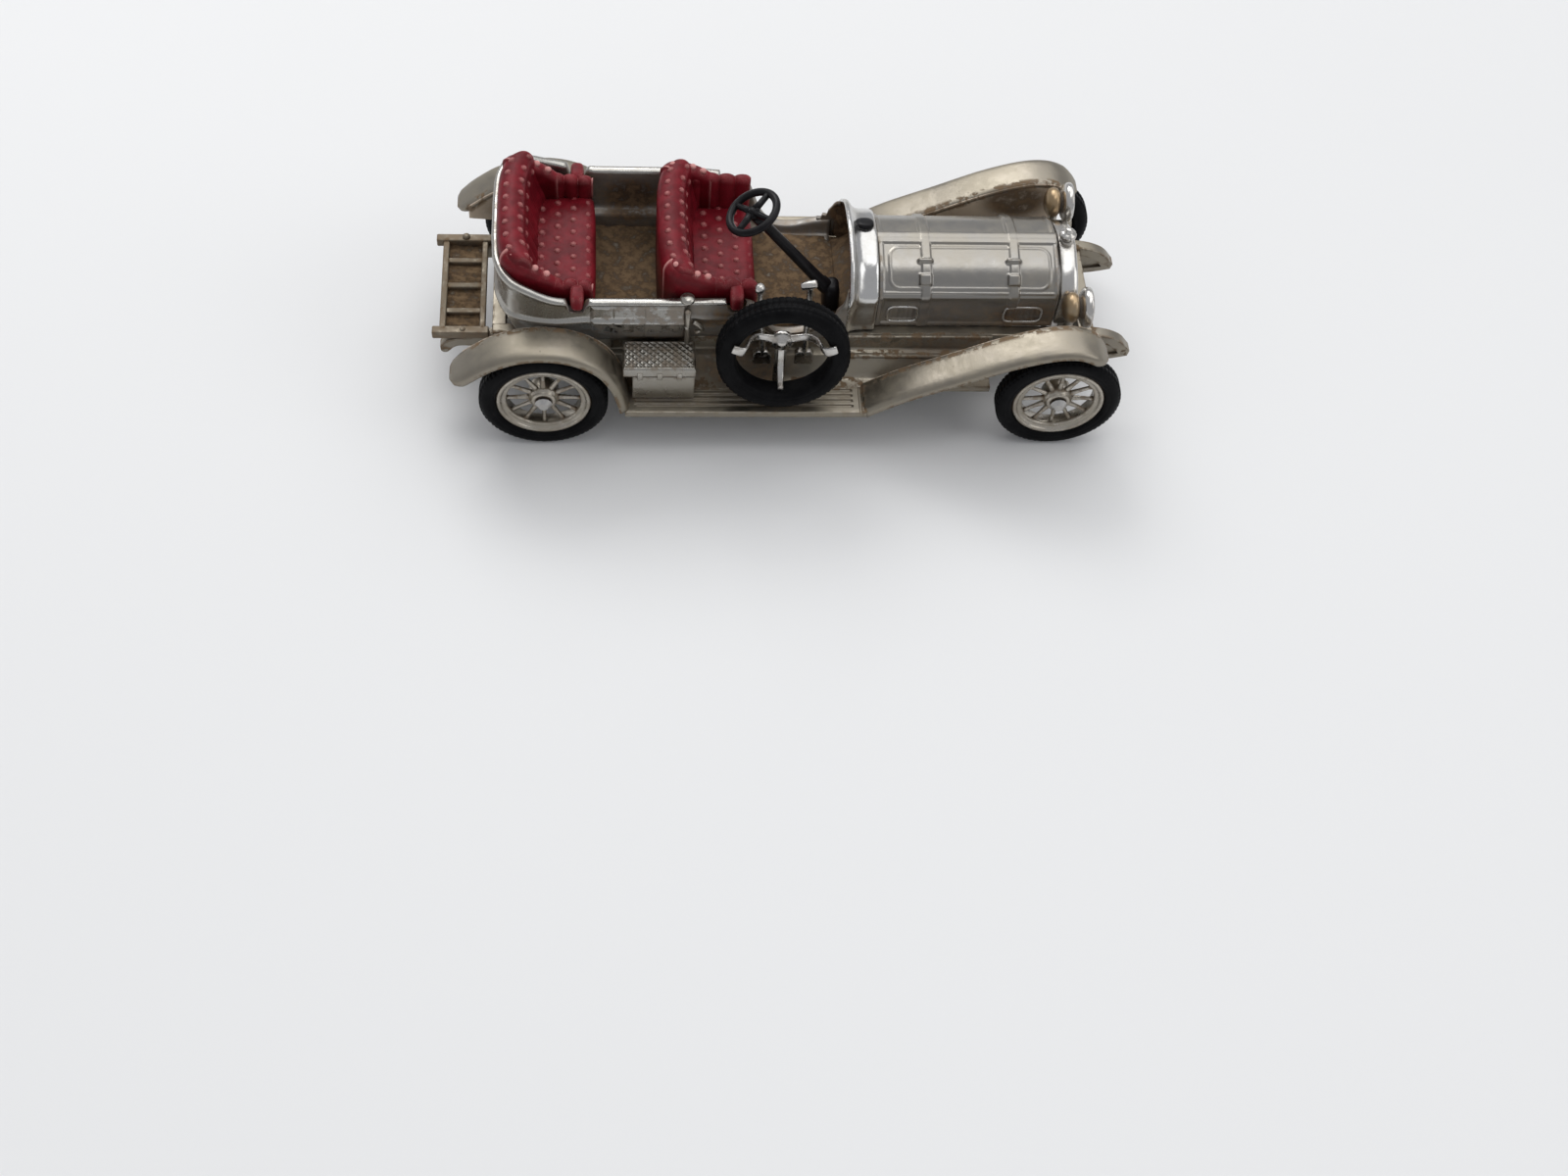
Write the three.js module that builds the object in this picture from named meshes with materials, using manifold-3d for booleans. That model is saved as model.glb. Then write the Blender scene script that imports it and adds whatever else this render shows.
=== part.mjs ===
// Diecast collector car: a small plated open tourer of the brass era, about 1:55.
// Millimetres. +X is forward, +Y is the car's left and +Z is up. The origin lies on the
// ground, below the middle of the overall length.

import * as THREE from "three";
import { mergeVertices } from "three/addons/utils/BufferGeometryUtils.js";
import Module from "manifold-3d";

const wasm = await Module();
wasm.setup();

// ---- driving dimensions ---------------------------------------------------------------------

const LENGTH = 90.9;
const HALF_LENGTH = LENGTH / 2;
const HALF_WIDTH = 17.3;
const GAP = 0.3;
const SLIVER = 0.008;
const ABOVE_ALL = 40;

const WHEELBASE = 66.3;
const REAR_AXLE_X = -31.4;
const FRONT_AXLE_X = REAR_AXLE_X + WHEELBASE;
const TYRE_DIAMETER = 16.3;
const TYRE_WIDTH = 2.6;
const TYRE_OUTER_Y = 16.85;
const TYRE_SIDES = 28;
const AXLE_Z = TYRE_DIAMETER / 2;
const AXLE_RADIUS = 0.6;
const AXLE_HEAD_RADIUS = 1.1;

const RAIL_INNER_Y = 6.8;
const RAIL_OUTER_Y = 8.5;
const RAIL_BOTTOM_Z = 9.3;
const RAIL_TOP_Z = 12.3;
const BODY_BOTTOM_Z = RAIL_TOP_Z + GAP;

const FENDER_INNER_Y = 12.3;
const FENDER_WALL = 0.9;
const FENDER_LIP = 1.2;
const BOARD_TOP_Z = 7.2;
const BOARD_BOTTOM_Z = 6.2;
const BOARD_REAR_X = -20.6;
const BOARD_FRONT_X = 9.45;

const BASE_BOTTOM_Z = 4.6;
const BASE_THICKNESS = 1.2;

const BONNET_REAR_X = 11.1;
const BONNET_FRONT_X = 34.35;
const BONNET_HALF_WIDTH = 7.0;
const BONNET_SHOULDER_Z = 18.0;
const BONNET_CREST_Z = 21.3;

const SCUTTLE_REAR_X = 6.6;
const TUB_REAR_X = -37.5;
const TUB_FRONT_X = SCUTTLE_REAR_X - GAP;
const TUB_RIM_Z = 21.7;
const FLOOR_TOP_Z = 13.6;
const SEAT_BOTTOM_Z = FLOOR_TOP_Z + GAP;

const NOTCH_XS = { rear: -27, front: -7.3 };
const NOTCH_HALF_LENGTH = 1.3;
const NOTCH_BOTTOM_Z = 20;

const LAMP_Y = 9.2;
const LAMP_Z = 18.6;
const LAMP_RIM_RADIUS = 2.6;
const LAMP_FRONT_X = 38;
const LAMP_FACE_RADIUS = 2.15;

const SPARE_X = -1.4;
const SPARE_RADIUS = 8.45;
const SPARE_Z = BOARD_TOP_Z + GAP + SPARE_RADIUS;
const SPARE_BORE_RADIUS = 6;
const SPARE_OUTER_Y = -16.3;
const SPARE_INNER_Y = -13.1;
const SPARE_LEAN = 7;
const SPARE_ARM_ANGLES = [-20, 90, 200];

const RIVET_XS = { rear: -20, front: 11.2 };
const RIVET_RADIUS = 0.9;

// ---- materials ------------------------------------------------------------------------------

function look(color, roughness, metalness) {
  return () => new THREE.MeshStandardMaterial({ color, roughness, metalness });
}

const PLATED = look(0xd2ccbf, 0.28, 1.0);
const GRIMY_PLATED = look(0x8d7d66, 0.5, 0.9);
const STEEL = look(0x9c9a96, 0.35, 1.0);
const RED_PLASTIC = look(0x8e1620, 0.35, 0.0);
const BLACK_PLASTIC = look(0x17161a, 0.4, 0.0);
const TYRE_RUBBER = look(0x1a191b, 0.75, 0.0);

// ---- solids ---------------------------------------------------------------------------------

// A closed geometry becomes a solid once its shared corners are merged and the empty
// triangles at lathe poles are dropped.
function solid(geometry) {
  geometry.deleteAttribute("normal");
  geometry.deleteAttribute("uv");
  const merged = mergeVertices(geometry, 1e-4);
  const index = merged.index.array;
  const kept = [];
  for (let i = 0; i < index.length; i += 3) {
    const [a, b, c] = [index[i], index[i + 1], index[i + 2]];
    if (a !== b && b !== c && c !== a) kept.push(a, b, c);
  }
  return new wasm.Manifold(new wasm.Mesh({
    numProp: 3,
    vertProperties: new Float32Array(merged.attributes.position.array),
    triVerts: new Uint32Array(kept),
  }));
}

function join(...solids) {
  return solids.reduce((whole, piece) => whole.add(piece));
}

function cut(whole, ...solids) {
  return solids.reduce((rest, piece) => rest.subtract(piece), whole);
}

function mirrored(piece) {
  return piece.mirror([0, 1, 0]);
}

function both(piece) {
  return join(piece, mirrored(piece));
}

function box([x0, x1], [y0, y1], [z0, z1]) {
  const geometry = new THREE.BoxGeometry(x1 - x0, y1 - y0, z1 - z0);
  geometry.translate((x0 + x1) / 2, (y0 + y1) / 2, (z0 + z1) / 2);
  return solid(geometry);
}

function extruded(points, depth) {
  const outline = new THREE.Shape(points.map(([a, b]) => new THREE.Vector2(a, b)));
  return new THREE.ExtrudeGeometry(outline, { depth, bevelEnabled: false, steps: 1 });
}

// An outline seen from the side, in X and Z, reaching across from y0 to y1.
function sideProfile(points, [y0, y1]) {
  const geometry = extruded(points, y1 - y0);
  geometry.rotateX(Math.PI / 2);
  geometry.translate(0, y1, 0);
  return solid(geometry);
}

// An outline seen from the front, in Y and Z, reaching along from x0 to x1.
function frontProfile(points, [x0, x1]) {
  const geometry = extruded(points, x1 - x0);
  const axes = [new THREE.Vector3(0, 1, 0), new THREE.Vector3(0, 0, 1), new THREE.Vector3(1, 0, 0)];
  geometry.applyMatrix4(new THREE.Matrix4().makeBasis(...axes));
  geometry.translate(x0, 0, 0);
  return solid(geometry);
}

// An outline seen from above, in X and Y, reaching up from z0 to z1.
function planProfile(points, [z0, z1]) {
  const geometry = extruded(points, z1 - z0);
  geometry.translate(0, 0, z0);
  return solid(geometry);
}

// A round bar between two places.
function bar(from, to, radius, sides = 12, endRadius = radius) {
  const start = new THREE.Vector3(...from);
  const way = new THREE.Vector3(...to).sub(start);
  const geometry = new THREE.CylinderGeometry(endRadius, radius, way.length(), sides);
  geometry.translate(0, way.length() / 2, 0);
  const up = new THREE.Vector3(0, 1, 0);
  geometry.applyQuaternion(new THREE.Quaternion().setFromUnitVectors(up, way.normalize()));
  geometry.translate(...start.toArray());
  return solid(geometry);
}

// A turned piece about +Y through the origin: the profile lists [radius, y].
function turned(profile, sides) {
  return solid(new THREE.LatheGeometry(profile.map(([r, y]) => new THREE.Vector2(r, y)), sides));
}

function spline(points, steps) {
  const curve = new THREE.SplineCurve(points.map(([a, b]) => new THREE.Vector2(a, b)));
  return curve.getSpacedPoints(steps).map((p) => [p.x, p.y]);
}

// A band that follows a curve on its upper side and is the given depth thick below it.
function band(points, depth) {
  const lower = points.map(([x, z], i) => {
    const [ax, az] = points[Math.max(i - 1, 0)];
    const [bx, bz] = points[Math.min(i + 1, points.length - 1)];
    const length = Math.hypot(bx - ax, bz - az);
    return [x + (depth * (bz - az)) / length, z - (depth * (bx - ax)) / length];
  });
  return [...points, ...lower.reverse()];
}

// Closes half of a front outline, in Y and Z, with its mirror image.
function mirrorFront(half) {
  return [...half, ...half.map(([y, z]) => [-y, z]).reverse()];
}

// Closes half of a plan outline, in X and Y, with its mirror image.
function mirrorPlan(half) {
  return [...half, ...half.map(([x, y]) => [x, -y]).reverse()];
}

// ---- chassis: frame rails, running boards and fenders in one casting ------------------------

const FRONT_FENDER_CREST = spline([
  [BOARD_FRONT_X, BOARD_TOP_Z], [14.4, 10.4], [20.8, 13.6], [27, 16.7],
  [32.1, 18.5], [35.6, 18.8], [38.2, 17.9], [40, 16.2],
], 12);
const REAR_FENDER_CREST = spline([
  [-43, 12.0], [-40.6, 14.2], [-37.8, 16.3], [-34.5, 17.7], [-31.4, 18.1], [-28.3, 17.7],
  [-25.6, 16.5], [-23.4, 14.6], [-21.9, 12], [-21.1, 9.5], [BOARD_REAR_X, BOARD_TOP_Z],
], 14);

function fender(crest) {
  const strip = sideProfile(band(crest, FENDER_WALL), [FENDER_INNER_Y, HALF_WIDTH]);
  const lip = sideProfile(band(crest, FENDER_LIP), [HALF_WIDTH - 0.5, HALF_WIDTH]);
  return join(strip, lip);
}

// The skirt below a fender's inner edge, down to a lower line.
function fenderSkirt(crest, [x0, x1], lowerLine) {
  const upper = crest.filter(([x]) => x >= x0 && x <= x1).map(([x, z]) => [x, z - 0.2]);
  return sideProfile([...upper, ...lowerLine], [FENDER_INNER_Y, FENDER_INNER_Y + 0.8]);
}

function apron([x0, x1]) {
  const outline = [
    [RAIL_OUTER_Y - 0.2, RAIL_TOP_Z], [8.8, RAIL_TOP_Z], [9, 10], [9.8, 9.7], [11.6, BOARD_TOP_Z],
    [13, BOARD_TOP_Z], [13, BOARD_BOTTOM_Z], [11, BOARD_BOTTOM_Z], [9, 8.8], [8.3, RAIL_BOTTOM_Z],
  ];
  return frontProfile(outline, [x0, x1]);
}

function runningBoard() {
  const board = box(
    [BOARD_REAR_X - 0.4, BOARD_FRONT_X + 0.4],
    [12.2, HALF_WIDTH],
    [BOARD_BOTTOM_Z, BOARD_TOP_Z],
  );
  const grooves = [13.6, 14.7, 15.8].map((y) => (
    box([BOARD_REAR_X + 1, BOARD_FRONT_X - 1], [y, y + 0.4], [BOARD_TOP_Z - 0.25, BOARD_TOP_Z + 1])
  ));
  return cut(board, ...grooves);
}

// Front dumb iron with the tip of its leaf spring below it.
function dumbIron() {
  const horn = spline([[37, RAIL_TOP_Z], [40.6, 12.2], [43.6, 11.1], [HALF_LENGTH, 9]], 8);
  const tipX = HALF_LENGTH - 0.1;
  const leaf = [[tipX, 9], [41.5, 8.2], [38.2, 8], [38.2, 7.1], [41.8, 7.2], [tipX, 8.1]];
  const hanger = box([38.2, 39.4], [7.1, 8.3], [7.4, RAIL_BOTTOM_Z + 0.5]);
  return join(
    sideProfile(band(horn, 1.5), [RAIL_INNER_Y, RAIL_OUTER_Y - 0.1]),
    sideProfile(leaf, [7.1, 8.3]),
    hanger,
  );
}

// Rear hanger that carries the luggage rack.
function rearIron() {
  const outline = [
    [-37, 10.7], [-43.2, 10.5], [-44.6, 9.2], [-44.4, 8.2], [-43.6, 8.2], [-42.4, 9.4],
    [-37, RAIL_BOTTOM_Z + 0.1],
  ];
  return sideProfile(outline, [RAIL_INNER_Y + 0.1, 8.2]);
}

function axleLug(x) {
  return box([x - 2.4, x + 2.4], [RAIL_INNER_Y, RAIL_OUTER_Y], [AXLE_Z - 2, RAIL_BOTTOM_Z + 0.5]);
}

function axleBore(x) {
  return bar([x, -HALF_WIDTH, AXLE_Z], [x, HALF_WIDTH, AXLE_Z], AXLE_RADIUS + GAP, 16);
}

function crossMember([x0, x1]) {
  return box([x0, x1], [-RAIL_INNER_Y - 0.2, RAIL_INNER_Y + 0.2], [RAIL_BOTTOM_Z, RAIL_TOP_Z - 0.4]);
}

function rivetPost(x) {
  return cut(
    bar([x, 0, BASE_BOTTOM_Z + BASE_THICKNESS + GAP], [x, 0, RAIL_TOP_Z - 0.6], 2.1, 16),
    bar([x, 0, BASE_BOTTOM_Z], [x, 0, RAIL_TOP_Z - 1.6], RIVET_RADIUS + GAP, 16),
  );
}

function chassis() {
  const rail = box([-37.9, 40.2], [RAIL_INNER_Y, RAIL_OUTER_Y], [RAIL_BOTTOM_Z, RAIL_TOP_Z]);
  const frontSkirt = join(
    fenderSkirt(FRONT_FENDER_CREST, [10, 27], [[26, 10.5], [10, BOARD_BOTTOM_Z + 0.3]]),
    fenderSkirt(FRONT_FENDER_CREST, [25, 39.5], [[38.8, 14.2], [36.8, 12], [25.5, 12]]),
  );
  const rearSkirt = join(
    fenderSkirt(REAR_FENDER_CREST, [-27, -20], [[-21, BOARD_BOTTOM_Z + 0.3], [-23, 8], [-25.5, 13.4]]),
    fenderSkirt(REAR_FENDER_CREST, [-41.5, -24.5], [
      [-25.5, 13.9], [-31.4, 16.5], [-35.9, 15.4], [-36, 10.7], [-40, 11.2],
    ]),
  );
  const rearStay = box(
    [-37.8, -36.2],
    [RAIL_OUTER_Y - 0.3, FENDER_INNER_Y + 0.6],
    [10.6, RAIL_TOP_Z - 0.2],
  );
  const side = join(
    rail, fender(FRONT_FENDER_CREST), fender(REAR_FENDER_CREST), frontSkirt, rearSkirt,
    runningBoard(), apron([-23, 26.5]), rearStay, dumbIron(), rearIron(),
    axleLug(REAR_AXLE_X), axleLug(FRONT_AXLE_X),
  );
  const members = [
    [-37.9, -36.2], [RIVET_XS.rear - 2.2, RIVET_XS.rear + 2.2],
    [RIVET_XS.front - 2.2, RIVET_XS.front + 2.2], [38.2, 40.2],
  ];
  const frame = join(both(side), ...members.map(crossMember));
  const posts = Object.values(RIVET_XS).map(rivetPost);
  const clearBores = Object.values(RIVET_XS).map((x) => (
    bar([x, 0, BASE_BOTTOM_Z], [x, 0, RAIL_TOP_Z - 1.6], RIVET_RADIUS + GAP, 16)
  ));
  return cut(join(frame, ...posts), ...clearBores, axleBore(REAR_AXLE_X), axleBore(FRONT_AXLE_X));
}

// ---- base plate and its rivets --------------------------------------------------------------

const RIVET_HEAD_RADIUS = 1.7;
const RIVET_SEAT_DEPTH = 0.6;

function basePlate() {
  const half = [[-37, 5], [-35.5, 6.4], [36.5, 6.4], [38, 5]];
  const plate = planProfile(mirrorPlan(half), [BASE_BOTTOM_Z, BASE_BOTTOM_Z + BASE_THICKNESS]);
  const holes = Object.values(RIVET_XS).flatMap((x) => [
    bar([x, 0, 0], [x, 0, RAIL_BOTTOM_Z], RIVET_RADIUS + GAP, 16),
    bar([x, 0, 0], [x, 0, BASE_BOTTOM_Z + RIVET_SEAT_DEPTH], RIVET_HEAD_RADIUS + GAP, 20),
  ]);
  return cut(plate, ...holes);
}

function rivet(x) {
  const headTop = BASE_BOTTOM_Z + RIVET_SEAT_DEPTH - 0.1;
  return join(
    bar([x, 0, BASE_BOTTOM_Z + 0.1], [x, 0, headTop], RIVET_HEAD_RADIUS, 20),
    bar([x, 0, headTop - 0.1], [x, 0, RAIL_TOP_Z - 1.9], RIVET_RADIUS, 12),
  );
}

// ---- body tub: tonneau, low front entries and floor -----------------------------------------

function bodyTub() {
  const skin = frontProfile(mirrorFront([
    [9.7, BODY_BOTTOM_Z], [10.1, 14], [11.2, 16.8], [11.8, 18.2], [11.5, 18.9],
    [11.6, TUB_RIM_Z], [12.3, 22.4], [12.3, ABOVE_ALL],
  ]), [TUB_REAR_X, TUB_FRONT_X]);
  const plan = planProfile(mirrorPlan([
    ...spline([[TUB_REAR_X, 2], [TUB_REAR_X + 0.3, 7.6], [-35.2, 11.2], [-30.4, 12.3]], 8),
    [-25.5, 11.9], [-13.2, 11.8], [-5, 11.2], [-4, 10.3], [TUB_FRONT_X, 9.2],
  ]), [BODY_BOTTOM_Z, ABOVE_ALL]);
  const side = sideProfile([
    [TUB_REAR_X + 1.2, BODY_BOTTOM_Z],
    [TUB_REAR_X, 15],
    ...spline([[TUB_REAR_X, 24.7], [-35.8, 24.6], [-33, 23.6], [-30, 22.4], [-26, TUB_RIM_Z]], 8),
    [-13.2, TUB_RIM_Z],
    ...spline([
      [-6, 21.2], [-4.2, 19.4], [-3.2, 15.5], [-1.4, 14], [1.2, 14.2], [4, 16], [TUB_FRONT_X, 18.6],
    ], 12),
    [TUB_FRONT_X, BODY_BOTTOM_Z],
  ], [-HALF_WIDTH, HALF_WIDTH]);
  const hollowSection = frontProfile(mirrorFront([
    [8.6, FLOOR_TOP_Z], [8.6, 15.5], [10, 15.6], [10.5, TUB_RIM_Z], [11.2, 22.4], [11.2, ABOVE_ALL],
  ]), [TUB_REAR_X, TUB_FRONT_X + 1]);
  const hollowPlan = planProfile(mirrorPlan([
    ...spline([[TUB_REAR_X + 1.1, 2], [TUB_REAR_X + 1.4, 6.8], [-34.4, 10], [-30.4, 11]], 8),
    [-25.5, 10.7], [-13.2, 10.6], [-5, 10.2], [-4, 9.2], [TUB_FRONT_X + 1, 8.2],
  ]), [FLOOR_TOP_Z, ABOVE_ALL]);
  const notches = Object.values(NOTCH_XS).map((x) => both(box(
    [x - NOTCH_HALF_LENGTH, x + NOTCH_HALF_LENGTH],
    [SEAT_ARM_OUTER_Y, HALF_WIDTH],
    [NOTCH_BOTTOM_Z, ABOVE_ALL],
  )));
  return cut(skin.intersect(plan).intersect(side), hollowSection.intersect(hollowPlan), ...notches);
}

// ---- scuttle, bonnet and radiator -----------------------------------------------------------

// The arched section shared by bonnet, scuttle and radiator, grown outwards by a margin.
function arch(margin, bottom) {
  const shoulder = BONNET_HALF_WIDTH + margin;
  return mirrorFront([
    [shoulder, bottom],
    ...spline([
      [shoulder, BONNET_SHOULDER_Z + margin * 0.3], [5.9 + margin * 0.8, 19.1 + margin * 0.6],
      [4 + margin * 0.5, 20.4 + margin], [0.9, BONNET_CREST_Z + margin],
    ], 7),
  ]);
}

function scuttle() {
  const wall = frontProfile(arch(0.9, BODY_BOTTOM_Z), [SCUTTLE_REAR_X + 0.8, BONNET_REAR_X - GAP]);
  const flare = frontProfile(arch(1.7, BODY_BOTTOM_Z), [SCUTTLE_REAR_X, SCUTTLE_REAR_X + 0.9]);
  const recess = frontProfile(arch(-0.3, FLOOR_TOP_Z), [SCUTTLE_REAR_X - 1, BONNET_REAR_X - 1.6]);
  const shell = cut(join(wall, flare), recess);
  const columnHole = bar(COLUMN_FOOT, COLUMN_TOP, COLUMN_RADIUS + GAP, 12);
  return cut(shell, columnHole, plugBody(GAP));
}

const PLUG_X = 9.4;
const PLUG_Y = 1.5;
const PLUG_TOP_Z = 22.5;

// The dark plug set in the scuttle top, left of its crest.
function plugBody(clearance) {
  const halfLength = 0.95 + clearance;
  const halfWidth = 0.9 + clearance;
  return box(
    [PLUG_X - halfLength, PLUG_X + halfLength],
    [PLUG_Y - halfWidth, PLUG_Y + halfWidth],
    [PLUG_TOP_Z - 2.2 - clearance, PLUG_TOP_Z],
  );
}

const STRAP_XS = [17.2, 28.6];

function bonnet() {
  const shell = cut(
    frontProfile(arch(0, BODY_BOTTOM_Z), [BONNET_REAR_X, BONNET_FRONT_X]),
    frontProfile(arch(-1, BODY_BOTTOM_Z - 1), [BONNET_REAR_X - 1, BONNET_FRONT_X + 1]),
  );
  const straps = STRAP_XS.map((x) => cut(
    frontProfile(arch(0.25, BODY_BOTTOM_Z + 0.4), [x - 0.5, x + 0.5]),
    frontProfile(arch(-0.5, BODY_BOTTOM_Z - 1), [x - 1, x + 1]),
  ));
  const louvres = [[12.7, 16], [27.4, 32.6]].map(([x0, x1]) => (
    box([x0, x1], [BONNET_HALF_WIDTH - 0.35, BONNET_HALF_WIDTH + 1], [13.8, 16])
  ));
  const hinge = box(
    [BONNET_REAR_X + 0.2, BONNET_FRONT_X - 0.2],
    [-0.9, 0.9],
    [BONNET_CREST_Z - 0.5, BONNET_CREST_Z + 0.25],
  );
  return cut(join(shell, ...straps, hinge), ...louvres.flatMap((slot) => [slot, mirrored(slot)]));
}

const RADIATOR_REAR_X = BONNET_FRONT_X + GAP;
const RADIATOR_FRONT_X = 37;
const RADIATOR_CAP_X = 35.7;

function radiatorShell() {
  const shell = frontProfile(arch(-0.35, BODY_BOTTOM_Z), [RADIATOR_REAR_X, RADIATOR_FRONT_X]);
  const window = frontProfile(arch(-1.5, BODY_BOTTOM_Z + 1), [RADIATOR_FRONT_X - 1.4, RADIATOR_FRONT_X + 1]);
  const neck = bar([RADIATOR_CAP_X, 0, 20], [RADIATOR_CAP_X, 0, 21.5], 0.9, 12);
  return join(cut(shell, window), neck);
}

function radiatorCore() {
  const slab = frontProfile(
    arch(-1.8, BODY_BOTTOM_Z + 1.3),
    [RADIATOR_FRONT_X - 1.1, RADIATOR_FRONT_X - 0.3],
  );
  const tubes = [-4, -2.7, -1.35, 0, 1.35, 2.7, 4].map((y) => (
    box([RADIATOR_FRONT_X - 0.5, RADIATOR_FRONT_X], [y - 0.2, y + 0.2], [14.2, 18.8])
  ));
  return cut(slab, ...tubes);
}

function radiatorCap() {
  return join(
    bar([RADIATOR_CAP_X, 0, 21.8], [RADIATOR_CAP_X, 0, 22.6], 1.1, 12),
    bar([RADIATOR_CAP_X, 0, 22.5], [RADIATOR_CAP_X, 0, 23.2], 0.5, 12),
  );
}

// ---- headlamps ------------------------------------------------------------------------------

function headlamp() {
  const drum = turned([
    [0, LAMP_FRONT_X - 3.6], [1.3, LAMP_FRONT_X - 3.5], [1.9, LAMP_FRONT_X - 2.9],
    [2, LAMP_FRONT_X - 1.8], [1.5, LAMP_FRONT_X - 1.2], [1.7, LAMP_FRONT_X - 0.8],
    [LAMP_RIM_RADIUS, LAMP_FRONT_X - 0.7],
    [LAMP_RIM_RADIUS, LAMP_FRONT_X], [LAMP_FACE_RADIUS, LAMP_FRONT_X],
    [LAMP_FACE_RADIUS, LAMP_FRONT_X - 0.4], [1.2, LAMP_FRONT_X - 0.15], [0, LAMP_FRONT_X - 0.05],
  ], 20);
  const stem = bar([36, 7.9, RAIL_TOP_Z + 0.6], [36, LAMP_Y, LAMP_Z - 1.6], 0.6, 10);
  const foot = box([35, 37], [7.1, 8.6], [RAIL_TOP_Z + GAP, RAIL_TOP_Z + 1]);
  return join(drum.rotate([0, 0, -90]).translate([0, LAMP_Y, LAMP_Z]), stem, foot);
}

// ---- seats: one red moulding each -----------------------------------------------------------

const SEAT_HALF_WIDTH = 8.3;
const SEAT_ARM_OUTER_Y = 9.6;

// A bench with a rolled back and fluted arms, whose ends fill the notches in the tub's rim.
function bench({ side, backHalfWidth, armX, armTopZ, notchX }) {
  const cushion = sideProfile(side, [-SEAT_HALF_WIDTH, SEAT_HALF_WIDTH]);
  const upper = sideProfile(side, [-backHalfWidth, backHalfWidth]);
  const aboveLedge = box([-HALF_LENGTH, HALF_LENGTH], [-HALF_WIDTH, HALF_WIDTH], [16.1, ABOVE_ALL]);
  const arm = cut(
    box(armX, [SEAT_HALF_WIDTH - 0.2, SEAT_ARM_OUTER_Y], [16.1, armTopZ]),
    ...[0.28, 0.52, 0.76].map((part) => {
      const x = armX[0] + (armX[1] - armX[0]) * part;
      return bar([x, SEAT_HALF_WIDTH - 0.3, 15], [x, SEAT_HALF_WIDTH - 0.3, ABOVE_ALL], 0.4, 8);
    }),
  );
  const end = box(
    [notchX - NOTCH_HALF_LENGTH + GAP, notchX + NOTCH_HALF_LENGTH - GAP],
    [SEAT_ARM_OUTER_Y - 0.6, 11.9],
    [NOTCH_BOTTOM_Z + GAP, armTopZ],
  );
  return join(cushion, upper.intersect(aboveLedge), both(join(arm, end)));
}

function rearSeat() {
  return bench({
    side: [
      [-24.8, SEAT_BOTTOM_Z], [-24.6, 19], [-25.4, 19.7], [-31.6, 19.5], [-32.8, 25.4], [-33.4, 26.5],
      [-34.5, 26.9], [-35.5, 26.4], [-35.5, SEAT_BOTTOM_Z],
    ],
    backHalfWidth: 8.3,
    armX: [-33.2, -25.6],
    armTopZ: 22.3,
    notchX: NOTCH_XS.rear,
  });
}

function frontSeat() {
  return bench({
    side: [
      [-4.6, SEAT_BOTTOM_Z], [-4.4, 17.4], [-5.2, 18.2], [-11.6, 18], [-12.6, 23.6], [-13.2, 24.7],
      [-14.4, 25.1], [-15.6, 24.5], [-15.8, SEAT_BOTTOM_Z],
    ],
    backHalfWidth: 9.6,
    armX: [-13, -5.4],
    armTopZ: 22.7,
    notchX: NOTCH_XS.front,
  });
}

// ---- steering -------------------------------------------------------------------------------

const COLUMN_RADIUS = 0.65;
const STEERING_Y = -4.3;
const COLUMN_FOOT = [5.2, STEERING_Y, 16.0];
const COLUMN_TOP = [-5, STEERING_Y, 29.3];
const STEERING_RADIUS = 3.2;
const STEERING_RIM_RADIUS = 0.45;
const STEERING_TILT = -28;

function steeringWheel() {
  const rim = solid(new THREE.TorusGeometry(STEERING_RADIUS, STEERING_RIM_RADIUS, 6, 24));
  const spokes = [45, 135].map((angle) => (
    box([-STEERING_RADIUS, STEERING_RADIUS], [-0.3, 0.3], [-0.3, 0.25]).rotate([0, 0, angle])
  ));
  const hub = bar([0, 0, -0.4], [0, 0, 0.6], 0.9, 14);
  const centre = [COLUMN_TOP[0] - 0.5, STEERING_Y, COLUMN_TOP[2] + 0.7];
  return join(rim, ...spokes, hub).rotate([0, STEERING_TILT, 0]).translate(centre);
}

function steeringColumn() {
  const boot = box([4.2, 6.5], [STEERING_Y - 1.5, STEERING_Y + 1.5], [SEAT_BOTTOM_Z, 17.6]);
  return join(bar(COLUMN_FOOT, COLUMN_TOP, COLUMN_RADIUS, 12), boot);
}

// ---- levers on the right-hand frame rail ----------------------------------------------------

const LEVER_Y = -11.1;

function handbrakeLever() {
  const grip = solid(new THREE.SphereGeometry(0.7, 12, 8)).translate([-4.6, LEVER_Y, 23.8]);
  const foot = box([-4.8, -2.4], [LEVER_Y - 0.5, LEVER_Y + 0.5], [10, 12.4]);
  return join(bar([-3.6, LEVER_Y, 12], [-4.6, LEVER_Y, 23.8], 0.4, 8), grip, foot);
}

function gearLever() {
  const foot = box([0.6, 3], [LEVER_Y - 0.5, LEVER_Y + 0.5], [10, 12.4]);
  const grip = bar([0.4, LEVER_Y, 24.2], [2.4, LEVER_Y, 24.8], 0.55, 10);
  return join(bar([1.8, LEVER_Y, 12], [1.6, LEVER_Y, 24.4], 0.4, 8), grip, foot);
}

// ---- spare tyre and its carrier -------------------------------------------------------------

function tyreSection(bore, outer, y0, y1) {
  const shoulder = 0.7;
  return [
    [bore, y0 + 0.3], [bore + 0.5, y0], [outer - shoulder, y0], [outer, y0 + shoulder],
    [outer, y1 - shoulder], [outer - shoulder, y1], [bore + 0.5, y1], [bore, y1 - 0.3], [bore, y0 + 0.3],
  ];
}

// Tips a solid made upright about the origin so its top leans in towards the body, and places it.
function leant(solid) {
  const middleY = (SPARE_OUTER_Y + SPARE_INNER_Y) / 2;
  return solid.translate([0, -middleY, 0]).rotate([-SPARE_LEAN, 0, 0]).translate([SPARE_X, middleY, SPARE_Z]);
}

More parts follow.
